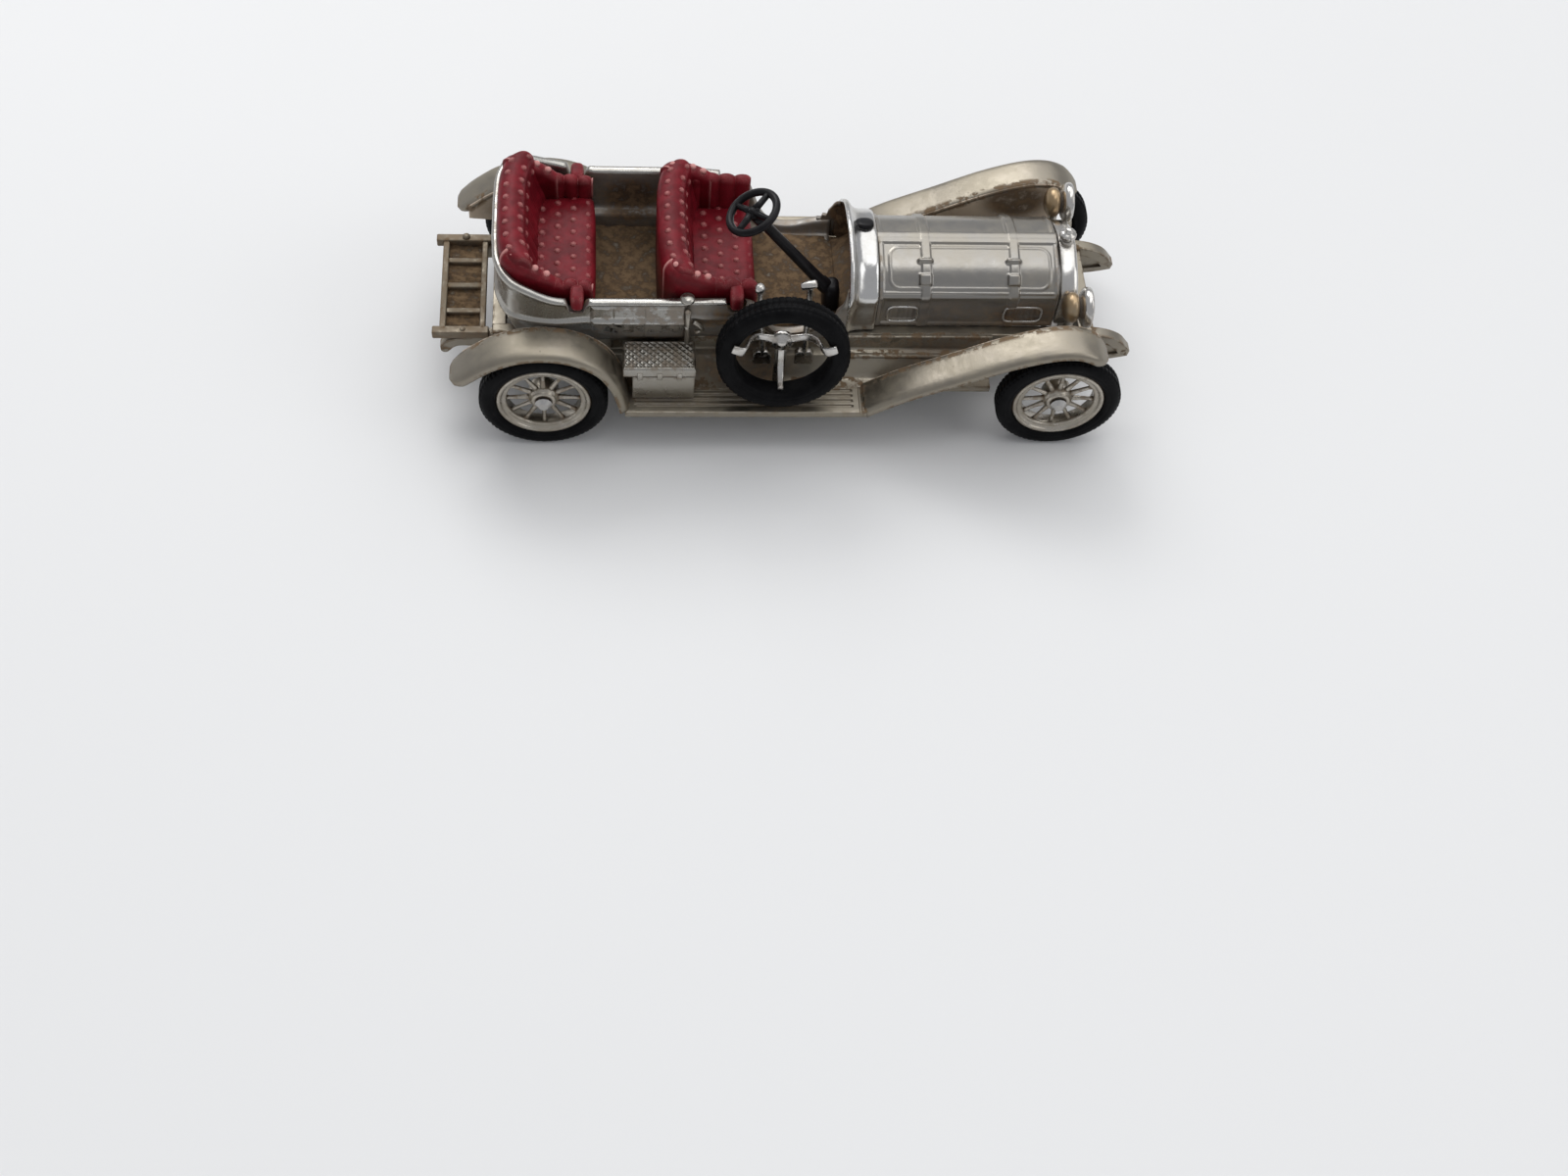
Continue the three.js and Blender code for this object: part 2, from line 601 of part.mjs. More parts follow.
function spareTyre() {
  const section = tyreSection(SPARE_BORE_RADIUS, SPARE_RADIUS, SPARE_OUTER_Y, SPARE_INNER_Y);
  return leant(turned(section, TYRE_SIDES));
}

function spareCarrier() {
  const backY = SPARE_INNER_Y + GAP;
  const hub = bar([0, backY, 0], [0, backY + 1, 0], 1.5, 16);
  const post = box([SPARE_X - 0.8, SPARE_X + 0.8], [backY, backY + 0.6], [BOARD_TOP_Z + GAP, SPARE_Z]);
  const fingerRadius = SPARE_BORE_RADIUS - 0.75;
  const arms = SPARE_ARM_ANGLES.map((angle) => {
    const x = Math.cos(THREE.MathUtils.degToRad(angle)) * fingerRadius;
    const z = -Math.sin(THREE.MathUtils.degToRad(angle)) * fingerRadius;
    return join(
      bar([0, backY + 0.45, 0], [x, backY + 0.45, z], 0.45, 8),
      bar([x, backY + 0.8, z], [x, SPARE_OUTER_Y - 0.3, z], 0.45, 8),
    );
  });
  return join(leant(join(hub, ...arms)), post);
}

// ---- toolbox and luggage rack ---------------------------------------------------------------

function toolbox() {
  const outline = [
    [-15.3, BOARD_TOP_Z + GAP], [-15.3, 13.4], [-10.5, 13.4], [-10.5, 10], [-12, BOARD_TOP_Z + GAP],
  ];
  const chest = frontProfile(outline, [-20.3, -12.2]);
  const lid = box([-21.4, -12.2], [-15.3, -10.5], [11.9, 13.4]);
  const lidLine = box([-30, 0], [-15.6, -15.1], [11.6, 11.9]);
  return cut(join(chest, lid), lidLine);
}

const RACK_BOTTOM_Z = 11;
const RACK_TOP_Z = 12.3;
const RACK_SLATS = 3;
const RACK_SLAT_PITCH = 4.3;

function luggageRack() {
  const endBar = box([-HALF_LENGTH, -38.2], [7.3, 8.5], [RACK_BOTTOM_Z, RACK_TOP_Z]);
  const rails = [[-44.6, -43.6], [-39.6, -38.6]].map((x) => (
    box(x, [-8, 8], [RACK_BOTTOM_Z, RACK_TOP_Z - 0.3])
  ));
  const slats = Array.from({ length: RACK_SLATS }, (_, i) => {
    const y = (i - (RACK_SLATS - 1) / 2) * RACK_SLAT_PITCH;
    return box([-44, -39], [y - 0.55, y + 0.55], [RACK_BOTTOM_Z, RACK_TOP_Z - 0.5]);
  });
  const buckle = box([-42.2, -41], [7.5, 8.3], [RACK_TOP_Z - 0.2, RACK_TOP_Z + 0.5]);
  return join(both(endBar), ...rails, ...slats, buckle);
}

// ---- wheels, tyres and axles ----------------------------------------------------------------

const WHEEL_BORE_RADIUS = AXLE_RADIUS + GAP;
const RIM_OUTER_RADIUS = 6;
const RIM_INNER_RADIUS = 4.7;
const HUB_RADIUS = 1.9;
const SPOKES = 12;

// A wheel about +Y at the origin, with its outer face towards +Y.
function wheel() {
  const rim = turned([
    [RIM_INNER_RADIUS, 14.5], [RIM_OUTER_RADIUS, 14.5], [RIM_OUTER_RADIUS, 16.6],
    [RIM_INNER_RADIUS + 0.5, 16.6], [RIM_INNER_RADIUS, 16.2], [RIM_INNER_RADIUS, 14.5],
  ], 24);
  const hub = turned([
    [WHEEL_BORE_RADIUS, 13.7], [HUB_RADIUS, 13.7], [HUB_RADIUS, 16], [HUB_RADIUS - 0.5, 16.4],
    [WHEEL_BORE_RADIUS, 16.4], [WHEEL_BORE_RADIUS, 13.7],
  ], 12);
  const spokes = Array.from({ length: SPOKES }, (_, i) => (
    box([HUB_RADIUS - 0.3, RIM_INNER_RADIUS + 0.3], [15, 15.9], [-0.3, 0.3])
      .rotate([0, (i * 360) / SPOKES, 0])
  ));
  return join(rim, hub, ...spokes);
}

function tyre() {
  const bore = RIM_OUTER_RADIUS + GAP;
  const outer = TYRE_DIAMETER / 2;
  return turned(tyreSection(bore, outer, TYRE_OUTER_Y - TYRE_WIDTH, TYRE_OUTER_Y), TYRE_SIDES);
}

function axle(x) {
  const shaftEnd = 16.8;
  const headEnd = HALF_WIDTH - 0.05;
  const shaft = bar([x, -shaftEnd, AXLE_Z], [x, shaftEnd, AXLE_Z], AXLE_RADIUS, 12);
  const head = bar([x, 16.75, AXLE_Z], [x, headEnd, AXLE_Z], AXLE_HEAD_RADIUS, 12, AXLE_RADIUS);
  return join(shaft, both(head));
}

// ---- assembly -------------------------------------------------------------------------------

const car = new THREE.Group();

// Adds one named mesh; its geometry is moved so that the mesh's own position is its pivot.
function add(name, piece, material, [x, y, z] = [0, 0, 0]) {
  const { numProp, vertProperties, triVerts } = piece.simplify(SLIVER).getMesh();
  const geometry = new THREE.BufferGeometry();
  geometry.setAttribute("position", new THREE.BufferAttribute(vertProperties, numProp));
  geometry.setIndex(new THREE.BufferAttribute(triVerts, 1));
  geometry.computeVertexNormals();
  const mesh = new THREE.Mesh(geometry, material());
  mesh.name = name;
  mesh.position.set(x, y, z);
  car.add(mesh);
}

add("chassis", chassis(), PLATED);
add("base_plate", basePlate(), STEEL);
for (const [end, x] of Object.entries(RIVET_XS)) add(`rivet_${end}`, rivet(x), STEEL);
add("body_tub", bodyTub(), PLATED);
add("scuttle", scuttle(), PLATED);
add("scuttle_plug", plugBody(0), BLACK_PLASTIC);
add("bonnet", bonnet(), PLATED);
add("radiator_shell", radiatorShell(), PLATED);
add("radiator_core", radiatorCore(), GRIMY_PLATED);
add("radiator_cap", radiatorCap(), PLATED);
add("headlamp_left", headlamp(), PLATED);
add("headlamp_right", mirrored(headlamp()), PLATED);
add("rear_seat", rearSeat(), RED_PLASTIC);
add("front_seat", frontSeat(), RED_PLASTIC);
add("steering_column", steeringColumn(), BLACK_PLASTIC);
add("steering_wheel", steeringWheel(), BLACK_PLASTIC);
add("handbrake_lever", handbrakeLever(), PLATED);
add("gear_lever", gearLever(), PLATED);
add("spare_carrier", spareCarrier(), PLATED);
add("spare_tyre", spareTyre(), TYRE_RUBBER);
add("toolbox", toolbox(), PLATED);
add("luggage_rack", luggageRack(), GRIMY_PLATED);
for (const [end, x] of [["front", FRONT_AXLE_X], ["rear", REAR_AXLE_X]]) {
  add(`axle_${end}`, axle(x), STEEL);
  add(`wheel_${end}_left`, wheel(), PLATED, [x, 0, AXLE_Z]);
  add(`tyre_${end}_left`, tyre(), TYRE_RUBBER, [x, 0, AXLE_Z]);
  add(`wheel_${end}_right`, mirrored(wheel()), PLATED, [x, 0, AXLE_Z]);
  add(`tyre_${end}_right`, mirrored(tyre()), TYRE_RUBBER, [x, 0, AXLE_Z]);
}

export default car;
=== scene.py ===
"""Diecast collector car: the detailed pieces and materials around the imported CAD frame."""
import math

import bmesh
import bpy
from mathutils import Matrix, Vector


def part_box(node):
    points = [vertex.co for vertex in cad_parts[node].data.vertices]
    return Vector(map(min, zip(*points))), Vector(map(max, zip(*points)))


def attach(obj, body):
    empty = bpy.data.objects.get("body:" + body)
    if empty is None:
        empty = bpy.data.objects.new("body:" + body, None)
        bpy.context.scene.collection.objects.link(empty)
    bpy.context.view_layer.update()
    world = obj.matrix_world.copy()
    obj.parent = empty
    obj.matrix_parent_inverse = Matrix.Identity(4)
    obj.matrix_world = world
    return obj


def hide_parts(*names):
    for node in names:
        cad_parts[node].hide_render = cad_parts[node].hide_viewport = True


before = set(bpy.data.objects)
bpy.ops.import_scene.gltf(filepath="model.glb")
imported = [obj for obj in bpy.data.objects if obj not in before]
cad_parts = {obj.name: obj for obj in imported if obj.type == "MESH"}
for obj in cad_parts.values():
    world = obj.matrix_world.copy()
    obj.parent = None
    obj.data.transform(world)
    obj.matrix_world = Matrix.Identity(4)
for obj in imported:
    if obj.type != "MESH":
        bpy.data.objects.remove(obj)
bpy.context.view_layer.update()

MM = 0.001
CAR = "car"


def link(name, data):
    """A new object of the scene."""
    obj = bpy.data.objects.new(name, data)
    bpy.context.scene.collection.objects.link(obj)
    return obj


# ---- camera ----------------------------------------------------------------------------

CAMERA_PLACE = (-23.67, -173.23, 204.30)
CAMERA_RIGHT = (0.9959, -0.0552, 0.0719)
CAMERA_UP = (0.0068, 0.8362, 0.5484)
CAMERA_FORWARD = (0.0904, 0.5456, -0.8331)


def make_camera():
    """The camera: three-quarter view from above the car's right side."""
    data = bpy.data.cameras.new("camera")
    data.lens = 45
    data.sensor_width = 36
    data.clip_start = 0.005
    camera = link("camera", data)
    turn = Matrix((CAMERA_RIGHT, CAMERA_UP, [-c for c in CAMERA_FORWARD])).transposed()
    camera.matrix_world = Matrix.Translation(Vector(CAMERA_PLACE) * MM) @ turn.to_4x4()
    bpy.context.scene.camera = camera


make_camera()


# ---- shapes: (vertices in millimetres, faces) ------------------------------------------

def extents(node):
    """((x0, x1), (y0, y1), (z0, z1)) of a CAD node in millimetres."""
    low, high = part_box(node)
    return [(a / MM, b / MM) for a, b in zip(low, high)]


def middle(node):
    return [(a + b) / 2 for a, b in extents(node)]


def join(*shapes):
    verts, faces = [], []
    for more_verts, more_faces in shapes:
        start = len(verts)
        verts += more_verts
        faces += [tuple(start + i for i in face) for face in more_faces]
    return verts, faces


def mirrored(shape):
    verts, faces = shape
    return [(x, -y, z) for x, y, z in verts], [face[::-1] for face in faces]


def both(shape):
    return join(shape, mirrored(shape))


def moved(shape, dx=0.0, dy=0.0, dz=0.0):
    return [(x + dx, y + dy, z + dz) for x, y, z in shape[0]], shape[1]


def turned_by(shape, angle, axis):
    turn = Matrix.Rotation(math.radians(angle), 3, axis)
    return [tuple(turn @ Vector(v)) for v in shape[0]], shape[1]


def loft(rows, ring=True, loop=False, caps=True):
    """A skin over rows of points. ring closes each row, loop joins the last row to the first."""
    count = len(rows[0])
    faces = []
    for r in range(len(rows) if loop else len(rows) - 1):
        here, there = r * count, (r + 1) % len(rows) * count
        for c in range(count if ring else count - 1):
            d = (c + 1) % count
            faces.append((here + c, here + d, there + d, there + c))
    if caps and ring and not loop:
        last = (len(rows) - 1) * count
        faces += [tuple(reversed(range(count))), tuple(last + i for i in range(count))]
    return [tuple(p) for row in rows for p in row], faces


def grid(rows, columns, place):
    """An open sheet of place(u, v) points, with u and v running from 0 to 1."""
    points = [[place(i / (rows - 1), j / (columns - 1)) for j in range(columns)] for i in range(rows)]
    return loft(points, ring=False, caps=False)


def circle(count):
    """count angles evenly spaced round a full turn."""
    return [2 * math.pi * k / count for k in range(count)]


def squared(value, power):
    """A sine or cosine pushed out towards a square's by a power below 1."""
    return math.copysign(abs(value) ** power, value)


def oval(count, power_a, power_b):
    """(a, b) points round a circle of radius 1, squared off by powers below 1."""
    return [(squared(math.cos(t), power_a), squared(math.sin(t), power_b)) for t in circle(count)]


def plain(_, radius):
    """The ripple of a smooth turned piece."""
    return radius


def lathe(profile, sides, ripple=plain):
    """A hollow piece turned about the Y axis; the profile lists (radius, y) round its section."""
    rows = []
    for a in circle(sides):
        rows.append([(ripple(a, r) * math.cos(a), y, ripple(a, r) * math.sin(a)) for r, y in profile])
    return loft(rows, loop=True)


def spun(rows):
    """A solid turned from rows that each run from axis to axis."""
    return loft(rows, ring=False, loop=True, caps=False)


def turned(profile, sides, x=0.0, ripple=plain):
    """A solid turned about an upright axis; the profile lists (radius, z) from axis to axis."""
    rows = []
    for a in circle(sides):
        rows.append([(x + ripple(a, r) * math.cos(a), ripple(a, r) * math.sin(a), z) for r, z in profile])
    return spun(rows)


def tube(path, radii, sides=12):
    """A round bar along a path of 3-D points, with one radius or one for each point."""
    points = [Vector(p) for p in path]
    radii = radii if isinstance(radii, (list, tuple)) else [radii] * len(points)
    rows = []
    side = None
    for i, point in enumerate(points):
        way = (points[min(i + 1, len(points) - 1)] - points[max(i - 1, 0)]).normalized()
        if side is None:
            side = way.cross(Vector((0.13, 0.97, 0.21))).normalized()
        side = (side - way * side.dot(way)).normalized()
        other = way.cross(side)
        rows.append([point + (side * math.cos(a) + other * math.sin(a)) * radii[i] for a in circle(sides)])
    return loft(rows)


def ball(centre, radius, flat=1.0):
    """A round knob, flattened along Z."""
    arc = [math.pi * i / 16 for i in range(17)]
    profile = [(math.sin(a) * radius, -math.cos(a) * radius * flat) for a in arc]
    return moved(turned(profile, 24), *centre)


def box(x, y, z):
    corners = [(x[i], y[j], z[k]) for i in (0, 1) for j in (0, 1) for k in (0, 1)]
    sides = [(0, 1, 3, 2), (4, 6, 7, 5), (0, 4, 5, 1), (2, 3, 7, 6), (0, 2, 6, 4), (1, 5, 7, 3)]
    return corners, sides


def side_prism(outline, y):
    """An (x, z) outline that reaches across from y[0] to y[1]."""
    return loft([[(x, across, z) for x, z in outline] for across in y])


def front_prism(outline, x):
    """A (y, z) outline that reaches along from x[0] to x[1]."""
    return loft([[(along, y, z) for y, z in outline] for along in x])


def spline(points, count):
    """count points evenly spaced along a smooth curve through the given points."""
    known = [Vector(p) for p in points]
    known = [known[0] * 2 - known[1], *known, known[-1] * 2 - known[-2]]
    fine = []
    for a, b, c, d in zip(known, known[1:], known[2:], known[3:]):
        for i in range(24):
            t = i / 24
            fine.append((b * 2 + (c - a) * t + (a * 2 - b * 5 + c * 4 - d) * t ** 2
                         + (b * 3 - a - c * 3 + d) * t ** 3) / 2)
    fine.append(known[-2])
    return resampled(fine, count)


def resampled(points, count):
    """count points evenly spaced along a polyline."""
    points = [Vector(p) for p in points]
    reach = [0.0]
    for a, b in zip(points, points[1:]):
        reach.append(reach[-1] + (b - a).length)
    result, k = [], 0
    for i in range(count):
        wanted = reach[-1] * i / (count - 1)
        while k < len(reach) - 2 and reach[k + 1] < wanted:
            k += 1
        share = (wanted - reach[k]) / max(reach[k + 1] - reach[k], 1e-9)
        result.append(tuple(points[k].lerp(points[k + 1], min(share, 1.0))))
    return result


def reach_of(line):
    """The distance of each point of a polyline from its start, along the line."""
    reach = [0.0]
    for a, b in zip(line, line[1:]):
        reach.append(reach[-1] + math.dist(a, b))
    return reach


def along(table, x):
    """The value at x of a table of (x, value) pairs, straight between them and level past its ends."""
    if x <= table[0][0]:
        return table[0][1]
    for (x0, v0), (x1, v1) in zip(table, table[1:]):
        if x <= x1:
            return v0 + (v1 - v0) * ((x - x0) / (x1 - x0))
    return table[-1][1]


def smooth(low, high, value):
    t = min(max((value - low) / (high - low), 0.0), 1.0)
    return t * t * (3 - 2 * t)


def plateau(distance, half, soft=0.12):
    """1 within half of a line and 0 beyond it, with a soft edge."""
    return 1 - smooth(half - soft, half + soft, abs(distance))


def rounded_distance(a, b, half_a, half_b, radius):
    """Signed distance from a rounded rectangle about the origin."""
    qa, qb = abs(a) - half_a + radius, abs(b) - half_b + radius
    return math.hypot(max(qa, 0), max(qb, 0)) + min(max(qa, qb), 0) - radius


def normals_of(line):
    """Unit normals of a 2-D polyline, to the left of its way."""
    result = []
    for i in range(len(line)):
        a, b = line[max(i - 1, 0)], line[min(i + 1, len(line) - 1)]
        dx, dz = b[0] - a[0], b[1] - a[1]
        size = math.hypot(dx, dz) or 1.0
        result.append((-dz / size, dx / size))
    return result


# ---- pieces ----------------------------------------------------------------------------

def piece(name, shape, look, replaces=(), body=CAR, bevel=0.0, wall=0.0):
    """Makes one shown object from a shape, riding on a body and standing for CAD nodes."""
    mesh = bpy.data.meshes.new(name)
    mesh.from_pydata([(x * MM, y * MM, z * MM) for x, y, z in shape[0]], [], shape[1])
    edit = bmesh.new()
    edit.from_mesh(mesh)
    bmesh.ops.remove_doubles(edit, verts=edit.verts, dist=1e-7)
    bmesh.ops.recalc_face_normals(edit, faces=edit.faces)
    edit.to_mesh(mesh)
    edit.free()
    mesh.materials.append(look)
    mesh.polygons.foreach_set("use_smooth", [True] * len(mesh.polygons))
    obj = link(name, mesh)
    if wall:
        solidify = obj.modifiers.new("wall", "SOLIDIFY")
        solidify.thickness = wall * MM
        solidify.offset = -1
    if bevel:
        add_bevel(obj, bevel)
    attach(obj, body)
    if replaces:
        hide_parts(*replaces)
    return obj


def add_bevel(obj, width):
    edge = obj.modifiers.new("edges", "BEVEL")
    edge.width = width * MM
    edge.segments = 3
    edge.limit_method = "ANGLE"
    edge.angle_limit = math.radians(32)
    edge.use_clamp_overlap = True
    flat = obj.modifiers.new("flat_faces", "WEIGHTED_NORMAL")
    flat.keep_sharp = True


def keep_node(name, look, bevel):
    """Shows a CAD node as packed, with softened edges and a better material."""
    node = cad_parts[name]
    node.material_slots[0].link = "OBJECT"
    node.material_slots[0].material = look
    add_bevel(node, bevel)


# ---- materials -------------------------------------------------------------------------

class Graph:
    """A material being wired up, with coordinates in millimetres of the car's frame."""

    def __init__(self, name):
        self.material = bpy.data.materials.new(name)
        self.material.use_nodes = True
        self.tree = self.material.node_tree
        self.tree.nodes.clear()
        output = self.tree.nodes.new("ShaderNodeOutputMaterial")
        self.shader = self.tree.nodes.new("ShaderNodeBsdfPrincipled")
        self.tree.links.new(self.shader.outputs[0], output.inputs[0])
        coordinates = self.add("ShaderNodeTexCoord").outputs["Object"]
        inputs = {0: coordinates, 3: 1 / MM}
        self.place = self.add("ShaderNodeVectorMath", inputs, operation="SCALE").outputs[0]

    def add(self, kind, inputs=None, **settings):
        node = self.tree.nodes.new(kind)
        for key, value in settings.items():
            setattr(node, key, value)
        for key, value in (inputs or {}).items():
            if isinstance(value, bpy.types.NodeSocket):
                self.tree.links.new(value, node.inputs[key])
            else:
                node.inputs[key].default_value = value
        return node

    def math(self, operation, a, b=0.0, c=0.0, clamp=False):
        return self.add("ShaderNodeMath", {0: a, 1: b, 2: c}, operation=operation, use_clamp=clamp).outputs[0]

    def noise(self, scale, detail=4.0, roughness=0.6, stretch=(1, 1, 1)):
        place = self.place
        if stretch != (1, 1, 1):
            place = self.vector_math("MULTIPLY", place, stretch)[0]
        settings = {"Vector": place, "Scale": scale, "Detail": detail, "Roughness": roughness}
        return self.add("ShaderNodeTexNoise", settings).outputs[0]

    def times(self, a, b, clamp=False):
        return self.math("MULTIPLY", a, b, clamp=clamp)

    def times_plus(self, a, b, c, clamp=False):
        return self.math("MULTIPLY_ADD", a, b, c, clamp)

    def vector_math(self, operation, a, b=(0.0, 0.0, 0.0)):
        return self.add("ShaderNodeVectorMath", {0: a, 1: b}, operation=operation).outputs

    def between(self, value, low, high):
        """0 where value is low, eased to 1 where it is high."""
        inputs = {0: value, 1: low, 2: high}
        return self.add("ShaderNodeMapRange", inputs, interpolation_type="SMOOTHSTEP").outputs[0]

    def blend(self, share, a, b):
        return self.add("ShaderNodeMix", {0: share, 6: a, 7: b}, data_type="RGBA").outputs[2]

    def openness(self, reach, **settings):
        """1 where nothing is near a face, down to 0 where it is hemmed in within a reach."""
        inputs = {"Distance": reach * MM}
        return self.add("ShaderNodeAmbientOcclusion", inputs, samples=6, **settings).outputs["AO"]

    def hollow(self, reach):
        """1 in recesses and 0 on open faces."""
        return self.between(self.openness(reach), 0.72, 0.2)

    def edge(self, reach, alone=False):
        """1 along outward edges and 0 on open faces; alone leaves out the pieces that it touches."""
        return self.between(self.openness(reach, inside=True, only_local=alone), 0.9, 0.55)

    def spot(self, centre, radii):
        """1 at a place in the car's frame, fading to 0 at the radii."""
        away = self.vector_math("SUBTRACT", self.place, centre)[0]
        scaled = self.vector_math("DIVIDE", away, radii)[0]
        return self.between(self.vector_math("LENGTH", scaled)[1], 1.0, 0.45)

    def bump(self, height, depth, strength=1.0):
        inputs = {"Strength": strength, "Distance": depth * MM, "Height": height}
        return self.add("ShaderNodeBump", inputs).outputs[0]

    def set(self, **inputs):
        for key, value in inputs.items():
            socket = self.shader.inputs[key.replace("_", " ").title().replace("Ior", "IOR")]
            if isinstance(value, bpy.types.NodeSocket):
                self.tree.links.new(value, socket)
            else:
                socket.default_value = value
        return self.material


TARNISHED = (0.33, 0.295, 0.23, 1)
# Browns for dirt, also used as the shade painted into recesses and at set spots.
DARK_DIRT_AND_SHADE = (0.060, 0.037, 0.021, 1)
PALE_DIRT_AND_SHADE = (0.185, 0.122, 0.068, 1)
GREASE_AND_SHADE = (0.09, 0.07, 0.05, 1)
DUST = (0.30, 0.25, 0.20, 1)
# Pale pink for the painted highlight on seat studs and edges, and for wear.
WEAR_AND_GLINT = (0.60, 0.28, 0.26, 1)


def inside_tub(g):
    """1 on the tub's inner wall and 0 on its outer one."""
    x, y, z = g.add("ShaderNodeSeparateXYZ", {0: g.place}).outputs
    away = g.math("ABSOLUTE", y)
    corner = g.times_plus(x, -0.86, g.times(away, 0.5))
    sides = g.times(g.between(away, 11.15, 10.75), g.between(corner, 35.6, 35.0))
    return g.times(sides, g.between(z, 21.5, 20.9))


def plated(name, clean=(0.56, 0.535, 0.475, 1), tarnish=0.6, hollow_dirt_and_shade=0.6, flecks=0.5, gloss=0.24, film=0.0,
           spots=(), inner_wall_dirt_and_shade=False, metal_share=1.0, shine=0.4):
    """Worn vacuum plating: bright metal, dull tarnish, chipped edges, and brown dirt with painted shade in
    recesses, at set spots and on the tub's inner wall.
    """
    g = Graph(name)
    patches, cloudy, speckle = g.noise(0.13, 3), g.noise(0.8, 5, 0.65), g.noise(2.2, 4, 0.75)
    dull = g.times(g.between(g.times_plus(cloudy, 0.5, patches), 0.6, 0.95), tarnish)
    fleck = g.times(g.between(speckle, 0.66, 0.74), flecks)
    chips = g.times(g.times(g.edge(0.5), g.between(cloudy, 0.47, 0.56)), flecks)
    # Recesses, found by occlusion, turn dark brown: dirt, together with painted shade where less light falls.
    dirt_and_shade = g.times(g.hollow(1.8), g.times_plus(cloudy, hollow_dirt_and_shade, hollow_dirt_and_shade * 0.6))
    dirt_and_shade = g.times_plus(g.between(cloudy, 0.05, 0.62), film, dirt_and_shade)
    # Brown patches at set places: painted shade where parts shade each other, inside the tub and cowl and
    # under the fenders, along with dirt.
    for centre, radii, strength in spots:
        patch = g.times(g.spot(centre, radii), g.between(cloudy, 0.1, 0.55))
        dirt_and_shade = g.times_plus(patch, strength, dirt_and_shade)
    # The tub's inner wall is darkened brown all over: dirt, and painted shade for the shadow inside the tub.
    if inner_wall_dirt_and_shade:
        dirt_and_shade = g.times_plus(inside_tub(g), g.times_plus(cloudy, 0.75, 0.1), dirt_and_shade)
    dirt_and_shade = g.math("MAXIMUM", dirt_and_shade, g.math("MAXIMUM", fleck, chips), clamp=True)
    metal = g.blend(dull, clean, TARNISHED)
    brown = g.blend(g.between(cloudy, 0.35, 0.65), DARK_DIRT_AND_SHADE, PALE_DIRT_AND_SHADE)
    rough = g.times_plus(cloudy, 0.16, gloss - 0.06)
    rough = g.times_plus(dull, 0.16, rough)
    rough = g.times_plus(dirt_and_shade, 0.4, rough, clamp=True)
    relief = g.times_plus(speckle, 0.35, g.times_plus(dirt_and_shade, -0.4, cloudy))
    g.shader.inputs["Specular IOR Level"].default_value = shine
    return g.set(
        base_color=g.blend(dirt_and_shade, metal, brown),
        metallic=g.times(g.times_plus(dirt_and_shade, -0.75, 1.0), metal_share),
        roughness=rough,
        normal=g.bump(relief, 0.05, 0.55),
    )


def steel(name):
    """Bare zinc-coated steel with fine drawn scratches."""
    g = Graph(name)
    scratch, cloudy = g.noise(3.0, 3, 0.7, stretch=(0.12, 3, 3)), g.noise(0.5, 4)
    # Recesses, found by occlusion, darken to a grease colour: grease, and painted shade.
    dirt_and_shade = g.times(g.hollow(1.2), g.times_plus(cloudy, 0.6, 0.4))
    metal = g.blend(cloudy, (0.42, 0.41, 0.40, 1), (0.60, 0.58, 0.55, 1))
    return g.set(
        base_color=g.blend(dirt_and_shade, metal, GREASE_AND_SHADE),
        metallic=g.math("SUBTRACT", 1.0, g.times(dirt_and_shade, 0.7)),
        roughness=g.times_plus(scratch, 0.25, 0.22),
        normal=g.bump(scratch, 0.02, 0.6),
    )


def moulded(name, dark, light, gloss, grain=1.0, dust=0.03, shine=0.5, ior=1.5, glint_and_wear=0.0):
    """Moulded plastic or rubber: uneven shine, dust in its recesses, and pale pink on its studs and edges, a
    painted highlight with some wear.
    """
    g = Graph(name)
    cloudy, fine = g.noise(0.45, 4), g.noise(3.5 * grain, 4, 0.7)
    colour = g.blend(g.between(cloudy, 0.35, 0.65), dark, light)
    # Studs' tops and outward edges turn pale pink: a painted highlight for the studs' glints, with some wear.
    if glint_and_wear:
        colour = g.blend(g.times(g.edge(0.5, alone=True), glint_and_wear), colour, WEAR_AND_GLINT)
    powder = g.times(g.hollow(0.9), g.times(fine, dust), clamp=True)
    scuff = g.between(g.noise(1.6, 5, 0.8), 0.58, 0.7)
    rough = g.times_plus(scuff, 0.22, g.times_plus(fine, 0.12, gloss))
    g.shader.inputs["Specular IOR Level"].default_value = shine
    g.shader.inputs["IOR"].default_value = ior
    return g.set(
        base_color=g.blend(powder, colour, DUST),
        roughness=rough,
        normal=g.bump(g.times_plus(fine, 0.6, cloudy), 0.03, 0.5),
    )


# Brown patches on the body: painted shade low in the tub, on its far inner wall, inside the cowl and on the
# near side under the front seat's rim, with dirt.
BODY_SPOTS = [
    ((-20.0, 0.0, 13.6), (9.0, 10.5, 4.0), 0.55),
    ((-20.0, 9.0, 18.0), (6.5, 3.0, 4.5), 0.8),
    ((1.0, 0.0, 13.6), (7.0, 10.0, 2.5), 0.45),
    ((7.5, 5.0, 17.5), (3.2, 5.5, 5.0), 0.95),
    ((7.5, -5.0, 16.5), (3.2, 4.0, 5.0), 0.95),
    ((-8.0, -11.5, 16.0), (6.5, 2.0, 5.0), 0.7),
]
